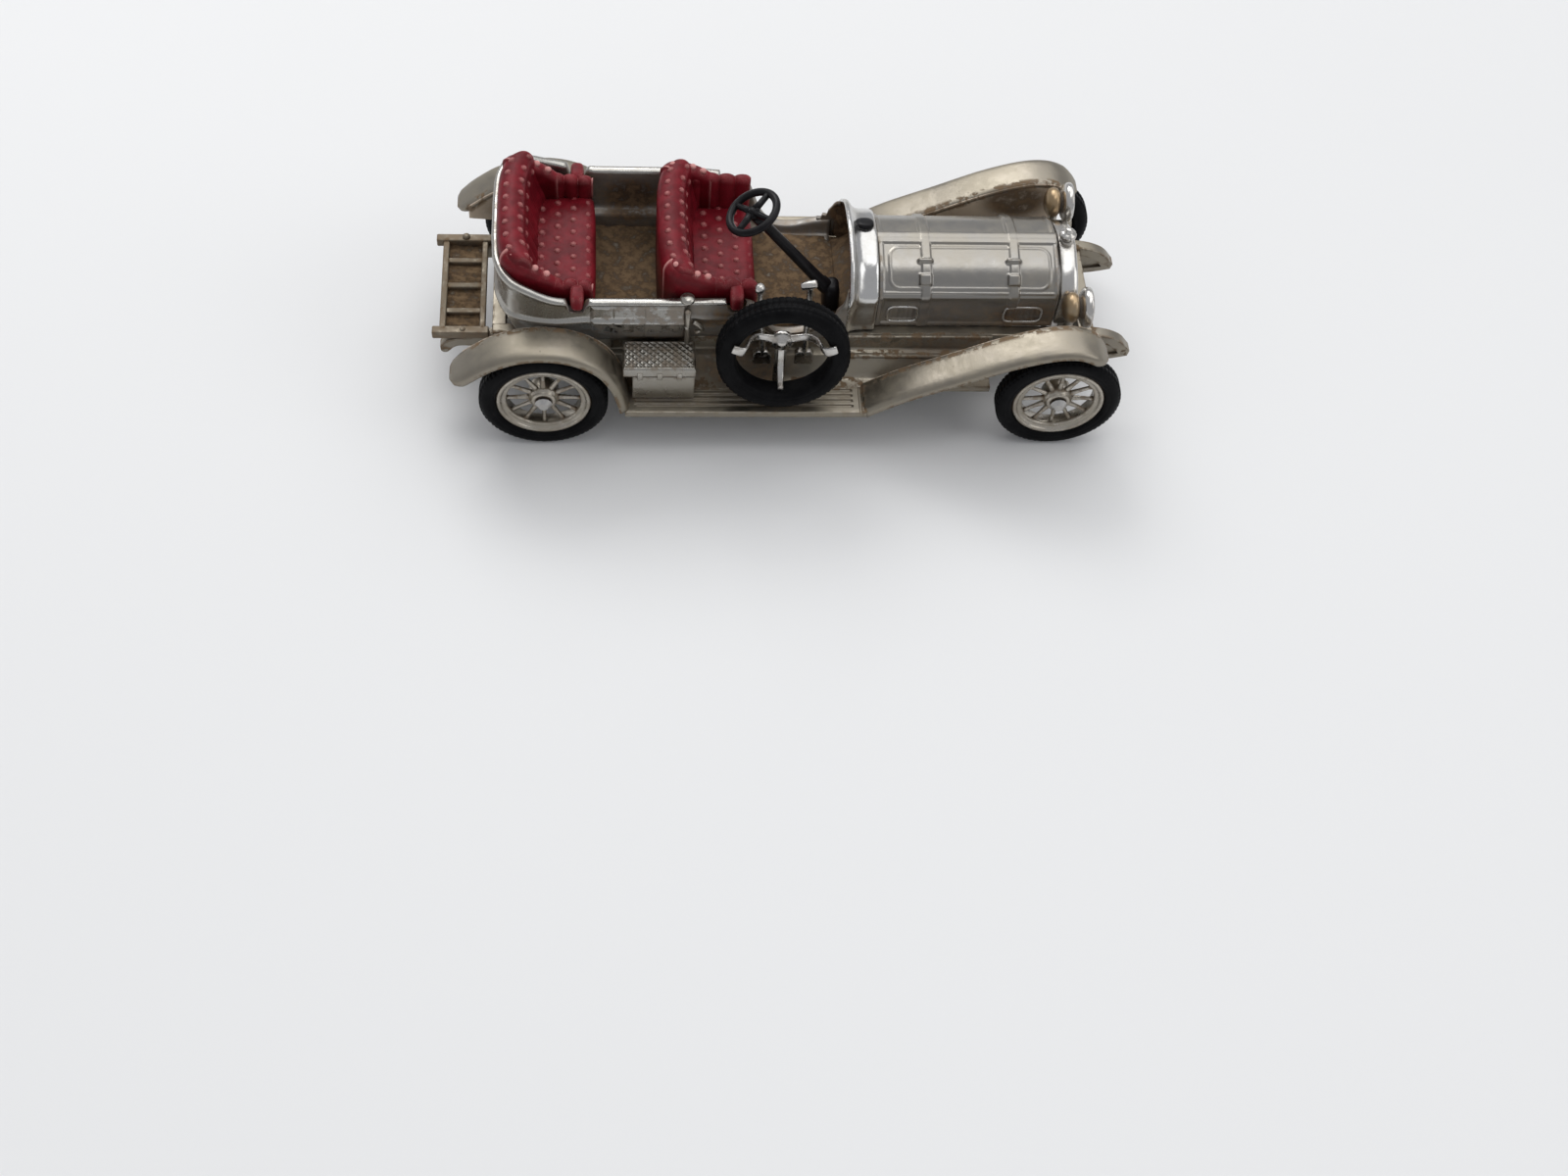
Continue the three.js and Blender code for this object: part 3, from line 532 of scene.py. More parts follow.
# Brown patches on the chassis: a painted shadow on the far front web by the headlamp, and painted shade on
# the other webs and under the fenders and body, with dirt.
CHASSIS_SPOTS = [
    ((31.5, 12.3, 15.5), (6.0, 1.2, 4.0), 1.0),
    ((20.0, 12.3, 11.5), (9.0, 1.2, 4.0), 0.35),
    ((22.0, -10.5, 9.5), (11.0, 4.5, 4.5), 0.55),
    ((-6.0, -10.5, 8.5), (9.0, 4.0, 4.0), 0.8),
    ((-33.0, 12.3, 13.0), (9.0, 1.2, 5.0), 0.7),
    ((-42.0, 0.0, 10.5), (4.0, 9.5, 2.5), 0.5),
]
# Brown patches at both sides of the dash, deep inside the scuttle: painted shade with dirt.
DASH_SPOTS = [
    ((9.0, 6.3, 17.0), (4.0, 2.6, 6.0), 0.9),
    ((9.0, -6.3, 17.0), (4.0, 2.6, 6.0), 0.9),
]
# Brown patches low on the bonnet's sides, heaviest towards the front beside the fenders.
BONNET_SPOTS = [
    ((31.0, -7.6, 14.5), (7.5, 1.6, 4.0), 0.75),
    ((20.0, -7.6, 14.5), (13.0, 1.5, 3.9), 0.45),
    ((31.0, 7.3, 14.2), (6.5, 1.4, 4.0), 0.8),
]
DULL = (0.265, 0.238, 0.195, 1)
PLATED = plated("plated", clean=(0.42, 0.40, 0.36, 1), tarnish=0.4)
PLATED_CHASSIS = plated(
    "plated_chassis", clean=DULL, flecks=0.95, tarnish=0.7, gloss=0.36, spots=CHASSIS_SPOTS)
# The fender webs take a paler, far less metallic copy of the chassis plating: painted light that brightens
# webs sitting in shade between bonnet and fender.
PLATED_WEB = plated(
    "plated_web", clean=(0.62, 0.51, 0.395, 1), tarnish=0.2, hollow_dirt_and_shade=0.15, flecks=0.8, gloss=0.4,
    spots=CHASSIS_SPOTS, metal_share=0.25)
PLATED_BODY = plated(
    "plated_body", clean=(0.40, 0.39, 0.365, 1), tarnish=0.2, spots=BODY_SPOTS, inner_wall_dirt_and_shade=True)
PLATED_FLOOR = plated(
    "plated_floor", clean=DULL, hollow_dirt_and_shade=1.0, tarnish=1.0, film=1.25, gloss=0.42, shine=0.2)
PLATED_DASH = plated(
    "plated_dash", clean=DULL, hollow_dirt_and_shade=1.0, tarnish=1.0, film=1.1, gloss=0.4, spots=DASH_SPOTS, shine=0.25)
PLATED_BONNET = plated(
    "plated_bonnet", clean=(0.29, 0.278, 0.258, 1), hollow_dirt_and_shade=0.35, tarnish=0.4, gloss=0.28, flecks=0.4,
    spots=BONNET_SPOTS)
PLATED_COWL = plated(
    "plated_cowl", clean=(0.60, 0.595, 0.58, 1), hollow_dirt_and_shade=0.3, tarnish=0.3, gloss=0.17, flecks=0.3)
PLATED_BRIGHT = plated(
    "plated_bright", clean=(0.58, 0.565, 0.54, 1), hollow_dirt_and_shade=0.4, tarnish=0.3, gloss=0.18, flecks=0.3)
PLATED_WHEEL = plated("plated_wheel", clean=(0.44, 0.405, 0.35, 1), hollow_dirt_and_shade=1.0, flecks=0.6)
# Radiator core and rack: heavy dirt all over, with full painted shade in their recesses.
PLATED_DIRTY_AND_SHADED = plated(
    "plated_dirty_and_shaded", clean=(0.30, 0.26, 0.20, 1), hollow_dirt_and_shade=1.0, tarnish=0.95, flecks=0.9, gloss=0.38, film=0.6,
    shine=0.25)
BRASSY = plated("brassy_plating", clean=(0.36, 0.26, 0.155, 1), tarnish=0.75, hollow_dirt_and_shade=0.9, gloss=0.32)
STEEL = steel("steel")
RED = moulded(
    "red_plastic", (0.105, 0.003, 0.007, 1), (0.175, 0.006, 0.013, 1), 0.42, shine=0.35, ior=1.33, glint_and_wear=0.9)
BLACK = moulded(
    "black_plastic", (0.004, 0.0035, 0.0045, 1), (0.009, 0.008, 0.009, 1), 0.28, shine=0.3, ior=1.35)
RUBBER = moulded(
    "tyre_rubber", (0.003, 0.003, 0.0035, 1), (0.006, 0.006, 0.0065, 1), 0.46, grain=0.6, dust=0.08,
    shine=0.2, ior=1.25)


# ---- chassis ---------------------------------------------------------------------------

RAIL_Y = (6.8, 8.5)
RAIL_Z = (9.3, 12.3)
AXLE_XS = (middle("axle_rear")[0], middle("axle_front")[0])
BOARD_TOP = 7.2
BOARD_X = (-20.6, 9.45)
FENDER_Y = (12.3, extents("chassis")[1][1])
FRONT_CREST = spline([
    (BOARD_X[1], BOARD_TOP), (14.4, 10.4), (20.8, 13.6), (27, 16.7),
    (32.1, 18.5), (35.6, 18.8), (38.2, 17.9), (40, 16.2),
], 72)
REAR_CREST = spline([
    (-43, 12.0), (-40.6, 14.2), (-37.8, 16.3), (-34.5, 17.7), (-31.4, 18.1), (-28.3, 17.7),
    (-25.6, 16.5), (-23.4, 14.6), (-21.9, 12), (-21.1, 9.5), (BOARD_X[0], BOARD_TOP),
], 72)
FENDER_SECTION = [
    (-1.0, -0.62), (-0.99, -0.34), (-0.95, -0.14), (-0.86, -0.03), (-0.6, 0.0), (-0.2, 0.0),
    (0.25, 0.0), (0.55, -0.03), (0.74, -0.10), (0.87, -0.24), (0.95, -0.46), (0.99, -0.76),
    (1.0, -1.08), (0.97, -1.2), (0.9, -1.2), (0.86, -1.08), (0.83, -0.92), (0.6, -0.9),
    (0.0, -0.9), (-0.7, -0.9), (-0.93, -0.88), (-0.99, -0.8),
]


def fender(crest, tip_at_start):
    """A fender strip with a rolled outer edge, rounded in plan at its free tip."""
    centre, half = sum(FENDER_Y) / 2, (FENDER_Y[1] - FENDER_Y[0]) / 2
    free_tip = crest[0] if tip_at_start else crest[-1]
    rows = []
    for (x, z), (nx, nz) in zip(crest, normals_of(crest)):
        reach = math.hypot(x - free_tip[0], z - free_tip[1])
        t = min(reach / 2.6, 1.0)
        width = half * (0.5 + 0.5 * math.sqrt(1 - (1 - t) ** 2))
        thin = 0.45 + 0.55 * smooth(0, 1.4, reach)
        rows.append([(x + nx * n * thin, centre + w * width, z + nz * n * thin) for w, n in FENDER_SECTION])
    return loft(rows)


def skirt(crest, x_range, lower):
    """The web under a fender's inner edge, down to a lower (x, z) line."""
    upper = [(p[0], p[1] - 0.15) for p in crest if x_range[0] <= p[0] <= x_range[1]]
    face, back = FENDER_Y[0] + 0.02, FENDER_Y[0] + 0.78
    rows = []
    for x, z in upper:
        foot = min(along(lower, x), z - 0.1)
        rows.append([(x, face, z), (x, back, z), (x, back, foot), (x, face, foot)])
    return loft(rows)


def running_board():
    """A board with ribs along it and a turned-down outer edge."""
    x0, x1 = BOARD_X[0] - 0.5, BOARD_X[1] + 0.5
    grooves = (13.35, 14.2, 15.05, 15.9)
    across = [11.4, 12.6]
    for y in grooves:
        across += [y - 0.05, y + 0.07, y + 0.29, y + 0.41]
    across += [16.7, 17.05, 17.22]
    edge = [(17.3, BOARD_TOP - 0.22), (17.3, 6.35), (17.2, 6.2), (12.0, 6.2), (11.4, 6.3)]
    rows = []
    stations = (x0, x0 + 1.2, x0 + 1.4, x1 - 1.9, x1 - 1.7, x1 - 0.95, x1 - 0.85, x1 - 0.65, x1 - 0.55, x1)
    for x in stations:
        ribbed = x0 + 1.3 < x < x1 - 1.8
        joint = x1 - 0.9 < x < x1 - 0.6
        row = []
        for y in across:
            in_groove = ribbed and any(y0 + 0.06 < y < y0 + 0.3 for y0 in grooves)
            drop = 0.24 if in_groove else 0.12 if joint else 0.05 if y > 17.1 else 0.0
            row.append((x, y, BOARD_TOP - drop))
        rows.append(row + [(x, y, z) for y, z in edge])
    return loft(rows)


def apron():
    """The stepped valance between frame rail and running board, with the raised step under the bonnet."""
    valance = [
        (8.2, 12.28), (8.72, 12.3), (8.86, 12.2), (8.95, 10.25), (9.1, 10.05), (9.78, 9.86), (9.95, 9.72),
        (10.1, 9.35), (11.2, 7.85), (11.5, 7.45), (11.9, 7.24), (13, 7.2), (13, 6.25), (11, 6.25),
        (9.1, 8.8), (8.3, 9.3),
    ]
    step = [(9.0, 9.9), (9.9, 9.95), (10.15, 9.75), (10.0, 9.3), (9.2, 9.3)]
    return join(front_prism(valance, (-23, 26.5)), front_prism(step, (7.5, 24.5)))


def under(line, depth):
    """The line offset to its right by a depth, run backwards to close an outline."""
    return [(x - nx * depth, z - nz * depth) for (x, z), (nx, nz) in zip(line, normals_of(line))][::-1]


def dumb_iron():
    """The curved horn at a frame rail's front end, with its leaf spring, web and eye."""
    horn = spline([(36.5, 12.3), (40.6, 12.2), (43.6, 11.1), (45.42, 9.05)], 24)
    leaf = spline([(45.3, 8.9), (43.2, 8.35), (41.0, 8.05), (38.3, 8.0)], 14)
    leaf_under = [(x, z - 0.85) for x, z in leaf]
    clip = [(38.2, 7.3), (39.4, 7.4), (39.5, 9.8), (38.2, 9.8)]
    web = [(37.5, 11.6), (40.8, 11.4), (43.2, 10.4), (44.6, 8.9), (41.0, 7.7), (38.4, 7.7)]
    return join(
        side_prism(horn + under(horn, 1.45), (RAIL_Y[0] + 0.1, RAIL_Y[1] - 0.1)),
        side_prism(leaf + leaf_under[::-1], (7.1, 8.3)),
        side_prism(clip, (7.1, 8.3)),
        side_prism(web, (7.45, 8.0)),
        turned_disc(44.75, 8.75, 0.62, (6.95, 8.45)),
    )


def turned_disc(x, z, radius, y, bevel=0.12):
    """A short round boss across the car."""
    profile = [
        (0.0, y[0]), (radius - bevel, y[0]), (radius, y[0] + bevel),
        (radius, y[1] - bevel), (radius - bevel, y[1]), (0.0, y[1]),
    ]
    return spun([
        [(x + r * math.cos(a), across, z + r * math.sin(a)) for r, across in profile] for a in circle(28)
    ])


def rear_iron():
    """The drooping end of a frame rail behind the rear axle."""
    top = spline([(-36.8, 11.9), (-40.0, 11.0), (-43.0, 10.6), (-44.5, 9.4), (-44.5, 8.3)], 22)
    low = spline([(-36.8, 9.5), (-40.0, 9.4), (-42.4, 9.3), (-43.6, 8.3)], 22)
    eye = turned_disc(-44.0, 8.55, 0.6, (6.95, 8.15))
    return join(side_prism(top + low[::-1], (RAIL_Y[0] + 0.1, 8.2)), eye)


CHEEK = ((-2.4, 9.2), (-1.6, 7.0), (-0.9, 6.3), (0.9, 6.3), (1.6, 7.0), (2.4, 9.2))


def frame_rails():
    """The rails, with a lug and an axle cheek at each axle and a stay at the rear."""
    rail = box((-37.9, 40.2), RAIL_Y, RAIL_Z)
    lugs = [box((x - 2.4, x + 2.4), RAIL_Y, (9.0, 9.9)) for x in AXLE_XS]
    cheeks = [side_prism([(x + dx, z) for dx, z in CHEEK], RAIL_Y) for x in AXLE_XS]
    stay = box((-37.8, -36.2), (8.2, 12.9), (10.6, 12.1))
    return both(join(rail, *lugs, *cheeks, stay))


def cross_members():
    """Four bars between the rails, and the posts the rivets run up into."""
    spans = [(-37.9, -36.2), (-22.2, -17.8), (9.0, 13.4), (38.2, 40.2)]
    bars = [box(x, (-7.0, 7.0), (9.3, 11.9)) for x in spans]
    posts = [tube([(x, 0, z) for z in (6.15, 6.3, 9.0, 11.6)], [2.0, 2.1, 2.1, 2.1], 32) for x in (-20, 11.2)]
    return join(*bars, *posts)


piece("fenders_front", both(fender(FRONT_CREST, False)), PLATED_CHASSIS, ["chassis"])
piece("fenders_rear", both(fender(REAR_CREST, True)), PLATED_CHASSIS)
FRONT_WEB_FOOT = [(10, 6.5), (25, 10.2), (25.5, 12.0), (36.8, 12.0), (39.5, 15.0)]
REAR_WEB_FOOT = [
    (-41.5, 11.2), (-36.2, 10.7), (-35.9, 15.0), (-31.4, 16.2), (-25.6, 13.6), (-23, 8), (-20.7, 6.5),
]
webs = join(skirt(FRONT_CREST, (10, 39.5), FRONT_WEB_FOOT), skirt(REAR_CREST, (-41.5, -20.7), REAR_WEB_FOOT))
piece("fender_webs", both(webs), PLATED_WEB, bevel=0.12)
for name, shape, bevel in (
    ("running_boards", both(running_board()), 0.06),
    ("aprons", both(apron()), 0.08),
    ("frame_rails", frame_rails(), 0.22),
    ("cross_members", cross_members(), 0.2),
    ("dumb_irons", both(dumb_iron()), 0.16),
    ("rear_irons", both(rear_iron()), 0.16),
):
    piece(name, shape, PLATED_CHASSIS, bevel=bevel)


# ---- body tub --------------------------------------------------------------------------

FLOOR_Z = 13.6
TUB_BOTTOM = extents("body_tub")[2][0]
TUB_PLAN = spline([
    (-37.45, 0), (-37.42, 4), (-37.0, 7.9), (-35.1, 11.0), (-30.4, 12.2), (-25.5, 11.85), (-19, 11.8),
    (-13.2, 11.75), (-7, 11.4), (-4.6, 10.7), (-2, 10.1), (2, 9.7), (6.25, 9.3),
], 130)
RIM = spline([
    (-37.5, 24.7), (-35.8, 24.6), (-33, 23.6), (-30, 22.4), (-26, 21.75), (-22, 21.7),
], 24) + spline([
    (-13.2, 21.7), (-9, 21.6), (-6, 21.2), (-4.4, 19.6), (-3.2, 16.2), (-1.6, 14.4), (1.2, 14.2),
    (4, 15.2), (6.3, 15.8),
], 40)
RIM_MID = 21.7
BEAD_TOP = 18.9
TUB_SECTION = [
    (2.1, 12.6), (1.8, 13.4), (1.25, 15.0), (0.68, 16.6), (0.36, 17.5), (0.3, 17.75), (0.08, 17.95),
    (0.0, 18.2), (0.08, 18.45), (0.34, 18.7), (0.42, 18.95), (0.4, 20.0), (0.36, 20.8), (0.28, 21.05),
    (0.05, 21.2), (0.0, 21.42), (0.1, 21.62), (0.4, 21.7), (0.8, 21.68), (1.02, 21.55), (1.12, 21.2),
    (1.2, 20.2), (1.3, 18.2), (1.45, 16.2), (1.55, 15.75), (1.8, 15.6), (2.4, 15.52), (2.62, 15.4),
    (2.72, 15.0), (2.8, 13.9), (2.9, 13.2), (2.9, 12.6),
]
TUCK_END, RIM_START, INNER_RIM = 6, 15, 27
STEP_X = -13.4
SIDE_START = 60
NOTCH_XS = (-27.0, -7.3)


def section_at(rim):
    """The tub's wall section with its rim at another height."""
    share = (rim - TUB_BOTTOM) / (RIM_MID - TUB_BOTTOM)
    for depth, z in TUB_SECTION:
        if share < 1:
            yield depth, TUB_BOTTOM + (z - TUB_BOTTOM) * share
        elif z > BEAD_TOP:
            yield depth, BEAD_TOP + (z - BEAD_TOP) * (rim - BEAD_TOP) / (RIM_MID - BEAD_TOP)
        else:
            yield depth, z


def notch_drop(x):
    """How far the rim is cut down where the seat arms end in it."""
    return 1.7 * max(plateau(x - notch, 1.15, 0.08) for notch in NOTCH_XS)


def tub_wall():
    """The tub's wall, its tuck-under eased off towards the middle of the tail."""
    half = []
    for (x, y), (nx, ny) in zip(TUB_PLAN, normals_of(TUB_PLAN)):
        tuck = 0.58 + 0.42 * smooth(3, 11, y)
        rim = along(RIM, x)
        cut = notch_drop(x) if y > 9 else 0.0
        step = 0.5 * smooth(STEP_X, STEP_X + 0.3, x) * smooth(-3.0, -6.0, x)
        row = []
        for i, (depth, z) in enumerate(section_at(rim)):
            inward = depth * tuck if i < TUCK_END else depth
            if TUCK_END <= i < INNER_RIM and cut:
                z = min(z, rim - cut)
            if i < RIM_START:
                inward += step
            row.append((x - nx * inward, y - ny * inward, z))
        half.append(row)
    other = [[(x, -y, z) for x, y, z in row] for row in half[:0:-1]]
    return loft(other + half)


def densified_plan():
    """Extra stations where the rim is notched or the side steps in."""
    places = [notch + d for notch in NOTCH_XS for d in (-1.3, -1.1, 1.1, 1.3)] + [STEP_X, STEP_X + 0.25]
    plan = list(TUB_PLAN)
    for place in places:
        for i in range(SIDE_START, len(plan) - 1):
            (x0, y0), (x1, y1) = plan[i], plan[i + 1]
            if x0 < place < x1:
                plan.insert(i + 1, (place, y0 + (y1 - y0) * ((place - x0) / (x1 - x0))))
                break
    return plan


def tub_floor():
    """The floor inside the tub, worn and a little uneven, with its joint by the front seat."""
    half_widths = [
        (-36.0, 5.4), (-34.4, 7.6), (-32.5, 8.9), (-30, 9.3), (-13, 9.1), (-6, 8.7), (-3, 7.9), (9.2, 7.2),
    ]

    def place(u, v):
        x = -36.0 + 45.2 * u
        half = along(half_widths, x)
        uneven = 0.05 * math.sin(x * 1.7) * math.sin(v * 21.0) + 0.04 * math.sin(x * 0.6 + v * 9.0)
        return x, half * (2 * v - 1), FLOOR_Z + uneven

    joint = box((-13.6, -13.2), (-8.6, 8.6), (FLOOR_Z - 0.2, FLOOR_Z + 0.14))
    return join(grid(120, 50, place), joint)


def side_panel():
    """The raised panel of the rear door, which follows the side of the tub."""
    depths = [(z, depth) for depth, z in TUB_SECTION[:13]]

    def place(u, v):
        x = -25.4 + 11.9 * u
        low = along([(-25.4, 15.4), (-22.0, 13.7), (-13.5, 13.7)], x)
        z = low + (21.0 - low) * v
        y = along(TUB_PLAN[SIDE_START:], x) - along(depths, z)
        edge = rounded_distance(u - 0.5, (v - 0.5) * 0.62, 0.5, 0.31, 0.03)
        line = 0.10 * plateau(x + 22.6, 0.10, 0.06) + 0.10 * plateau(x + 18.7, 0.10, 0.06)
        return x, y + 0.26 * smooth(0.0, -0.035, edge) + 0.04 - line, z

    return grid(110, 44, place)


def pillar():
    """The door pillar with its hinge hook and two rivet heads, ahead of the rear door."""
    x = -13.3
    strip = tube([(x, 11.45, 14.1), (x, 11.6, 16.5), (x, 12.0, 18.2), (x, 11.75, 20.4)], 0.36, 10)
    bend = [(-12.6, 11.6, 18.2), (-11.8, 11.75, 17.6), (-11.5, 11.5, 16.6), (-12.2, 11.3, 15.9)]
    lug = ball((-13.4, 11.0, 21.75), 0.95, 0.55)
    heads = [ball((-13.4, 12.05, z), 0.34) for z in (17.6, 20.5)]
    return join(strip, tube(spline(bend, 14), 0.3), lug, *heads)


TUB_PLAN = densified_plan()
piece("tub_wall", tub_wall(), PLATED_BODY, ["body_tub"])
piece("tub_floor", tub_floor(), PLATED_FLOOR, wall=0.8)
piece("door_panels", both(side_panel()), PLATED_BODY, wall=0.25)
piece("door_pillars", both(pillar()), PLATED)


# ---- scuttle, bonnet and radiator ------------------------------------------------------

BONNET_X = extents("bonnet")[0]
FILLER_X = 35.7
BODY_FOOT = extents("bonnet")[2][0]


def arch(margin, bottom, count=26):
    """Half of the bonnet's section, from foot to crest, as (y, z), grown by a margin."""
    side = 7.0 + margin
    crown = [
        (side, 17.0), (side, 18 + margin * 0.3), (5.9 + margin * 0.8, 19.1 + margin * 0.6),
        (4 + margin * 0.5, 20.4 + margin), (0.9, 21.3 + margin), (0.0, 21.36 + margin),
    ]
    return [(side, bottom + (17.0 - bottom) * k / 6) for k in range(6)] + spline(crown, count - 6)


def arch_ring(x, margin, bottom):
    half = arch(margin, bottom)
    return [(x, y, z) for y, z in half] + [(x, -y, z) for y, z in half[-2::-1]]


SCUTTLE_OUTER = [
    (6.62, 1.35), (6.6, 1.55), (6.72, 1.7), (7.0, 1.72), (7.25, 1.62), (7.5, 1.4), (7.9, 1.12), (8.5, 0.95),
    (9.4, 0.88), (10.5, 0.88), (10.86, 0.84), (11.0, 0.7), (11.08, 0.15),
]
SCUTTLE_INNER = [
    (6.62, 1.35), (6.75, 1.1), (7.1, 0.75), (7.6, 0.35), (8.2, 0.0), (8.8, -0.35), (9.2, -0.9), (9.35, -1.6),
]


def flared(stations, bottom):
    """An arched sheet whose rear rim slants forward and flares more towards its crest."""
    verts, faces = loft([arch_ring(x, m, bottom) for x, m in stations], ring=False, caps=False)
    swept = []
    for x, y, z in verts:
        crest = smooth(14.5, 20.5, z)
        rim = 1 - smooth(6.8, 9.4, x)
        swept.append((x + 0.55 * crest * rim, y * (1 + 0.03 * crest * rim), z + 0.4 * crest * rim))
    return swept, faces


def cowl_sides():
    """The body's sides where they sweep up and in to meet the scuttle's rim."""
    tops = spline([(0.5, 14.1), (2.0, 14.4), (4.0, 15.3), (5.2, 16.4), (6.2, 17.7), (7.2, 20.2)], 30)
    rows = []
    for i in range(48):
        x = 0.5 + 6.6 * i / 47
        margin = 2.28 - 0.5 * smooth(4, 7.2, x)
        line = [p for p in arch(margin, 12.7, 120) if p[1] <= along(tops, x)]
        rows.append([(x, y, z) for y, z in resampled(line, 28)])
    return loft(rows, ring=False, caps=False)


def bulkhead_face():
    """The dished panel that closes the scuttle from the front seat's side."""
    half = 6.6

    def place(u, v):
        y = -half + 13.2 * v
        top = along([(0, 21.0), (0.9, 20.95), (4, 20.1), (5.7, 18.9), (half, 17.9)], abs(y))
        z = FLOOR_Z - 0.1 + (top - FLOOR_Z) * u
        sweep = smooth(0.0, 0.55, u)
        dish = 0.5 * (1 - (y / half) ** 2) * math.sin(math.pi * u)
        return 6.4 + 2.9 * math.sqrt(sweep) + dish * 0.3, y, z

    return grid(40, 60, place)


def plug():
    """The moulded block let into the top of the scuttle, sloped across."""
    z0, z1 = extents("scuttle_plug")[2]
    cx, cy, _ = middle("scuttle_plug")
    rows = []
    for z, grow in ((z0, 0.9), (z1 - 0.4, 1.0), (z1 - 0.05, 0.97), (z1 + 0.12, 0.85), (z1 + 0.2, 0.55)):
        rows.append([
            (cx + 0.1 + 1.2 * grow * squared(math.cos(a), 0.8), cy + 1.1 * grow * squared(math.sin(a), 0.8),
             z - 0.3 * math.sin(a) * grow)
            for a in circle(32)
        ])
    return loft(rows)


STRAP_XS = (17.2, 28.6)
BUCKLES = ((3.5, 1.0, 0.36), (5.9, 0.85, 0.8))


LOUVRES = ((12.5, 16.4), (27.7, 32.6))
LOUVRE_Z = 14.75


def bonnet_relief(x, s, shoulder, total):
    """Height of the bonnet's pressed detail: x along, s round from the crest towards the car's right."""
    away = abs(s)
    right = smooth(-0.9, 0.0, s)
    frame_edge = rounded_distance(x - 22.85, away - 4.3, 10.3, 2.7, 1.3)
    raised = [
        0.22 * plateau(away, 0.95, 0.16),
        0.13 * right * plateau(frame_edge, 0.17, 0.14),
        0.05 * right * smooth(0.0, -0.3, frame_edge),
        0.12 * right * plateau(away - shoulder + 0.45, 0.12, 0.1),
        0.10 * plateau(away - shoulder - 0.15, 0.14, 0.1),
        0.16 * plateau(x - BONNET_X[0] - 0.35, 0.3, 0.1),
        0.12 * plateau(x - BONNET_X[1] + 0.3, 0.25, 0.1),
        0.14 * plateau(away - total + 0.25, 0.3, 0.1),
    ]
    for strap in STRAP_XS:
        raised.append(0.25 * plateau(x - strap, 0.62, 0.16))
        for centre, half_x, half_s in BUCKLES:
            buckle = rounded_distance(x - strap + 0.15, away - centre, half_x, half_s, 0.25)
            raised.append(0.62 * right * smooth(0.12, -0.25, buckle))
    height = max(raised)
    for x0, x1 in LOUVRES:
        slot = rounded_distance(x - (x0 + x1) / 2, away - shoulder - 3.2, (x1 - x0) / 2, 1.35, 0.7)
        louvres = 0.11 * (0.5 + 0.5 * math.cos(2 * math.pi * (x - x0) / 0.66))
        height -= (0.25 - louvres) * smooth(0.0, -0.2, slot)
    return height


def bonnet_skin():
    half = resampled(arch(0, BODY_FOOT, 60), 105)
    across = half + [(-y, z) for y, z in half[-2::-1]]
    outward = [(-a, -b) for a, b in normals_of(across)]
    reach = reach_of(across)
    crest = reach[-1] / 2
    shoulder = crest - (18.0 - BODY_FOOT)
    rows = []
    for i in range(200):
        x = BONNET_X[0] + (BONNET_X[1] - BONNET_X[0]) * i / 199
        row = []
        for (y, z), (ny, nz), r in zip(across, outward, reach):
            h = bonnet_relief(x, r - crest, shoulder, crest)
            row.append((x, y + ny * h, z + nz * h))
        rows.append(row)
    return loft(rows, ring=False, caps=False)


def louvre_frames():
    """The rolled frames round the bonnet's side louvres."""
    frames = []
    for x0, x1 in LOUVRES:
        ring = [((x0 + x1) / 2 + (x1 - x0) / 2 * a, LOUVRE_Z + 1.35 * b) for a, b in oval(64, 0.35, 0.55)]
        rows = []
        for i, (x, z) in enumerate(ring):
            ahead, behind = ring[(i + 1) % 64], ring[i - 1]
            tx, tz = ahead[0] - behind[0], ahead[1] - behind[1]
            size = math.hypot(tx, tz)
            nx, nz = tz / size * 0.17, -tx / size * 0.17
            rows.append([
                (x + nx * math.cos(b), 7.08 + 0.17 * math.sin(b), z + nz * math.cos(b)) for b in circle(10)
            ])
        frames.append(loft(rows, loop=True))
    return join(*frames)


def radiator_shell():
    """The arched surround, its filler neck and the sheet that closes it behind."""
    section = [
        (34.66, -0.6), (34.7, -0.45), (34.85, -0.36), (36.3, -0.36), (36.7, -0.42), (36.9, -0.58),
        (37.0, -0.82), (37.0, -1.15), (36.9, -1.38), (36.7, -1.48), (35.65, -1.5),
    ]
    rings = [arch_ring(x, m, BODY_FOOT + 0.02 + max(0, -m - 0.36) * 0.9) for x, m in section]
    neck = [(0.9, 20.4), (0.9, 21.35), (0.8, 21.45), (0.0, 21.45)]
    back = arch_ring(34.66, -0.6, BODY_FOOT + 0.3)
    return join(loft(rings, caps=False), (back, [tuple(range(len(back)))]), turned(neck, 32, FILLER_X))


def radiator_core():
    """Vertical tubes with fine gills between them."""
    def place(u, v):
        y = -5.7 + 11.4 * v
        top = along([(0, 19.7), (2.5, 19.5), (4, 18.9), (5.7, 17.4)], abs(y))
        z = 13.75 + (top - 13.75) * u
        tubes = 0.16 * abs(math.cos(math.pi * y / 0.76))
        gills = 0.07 * math.cos(2 * math.pi * z / 0.5)
        return 36.15 + tubes + gills, y, z
    return grid(110, 150, place)


def radiator_cap():
    """The filler cap, knurled round its widest part."""
    profile = [
        (0.0, 21.75), (0.85, 21.75), (1.08, 21.85), (1.1, 22.0), (1.1, 22.35), (1.0, 22.5), (0.62, 22.6),
        (0.5, 22.7), (0.46, 22.95), (0.38, 23.12), (0.2, 23.2), (0.0, 23.2),
    ]

    def knurl(angle, radius):
        return radius - (0.05 if radius > 1.05 and round(36 * angle / math.pi) % 6 < 3 else 0)

    return turned(profile, 72, FILLER_X, knurl)


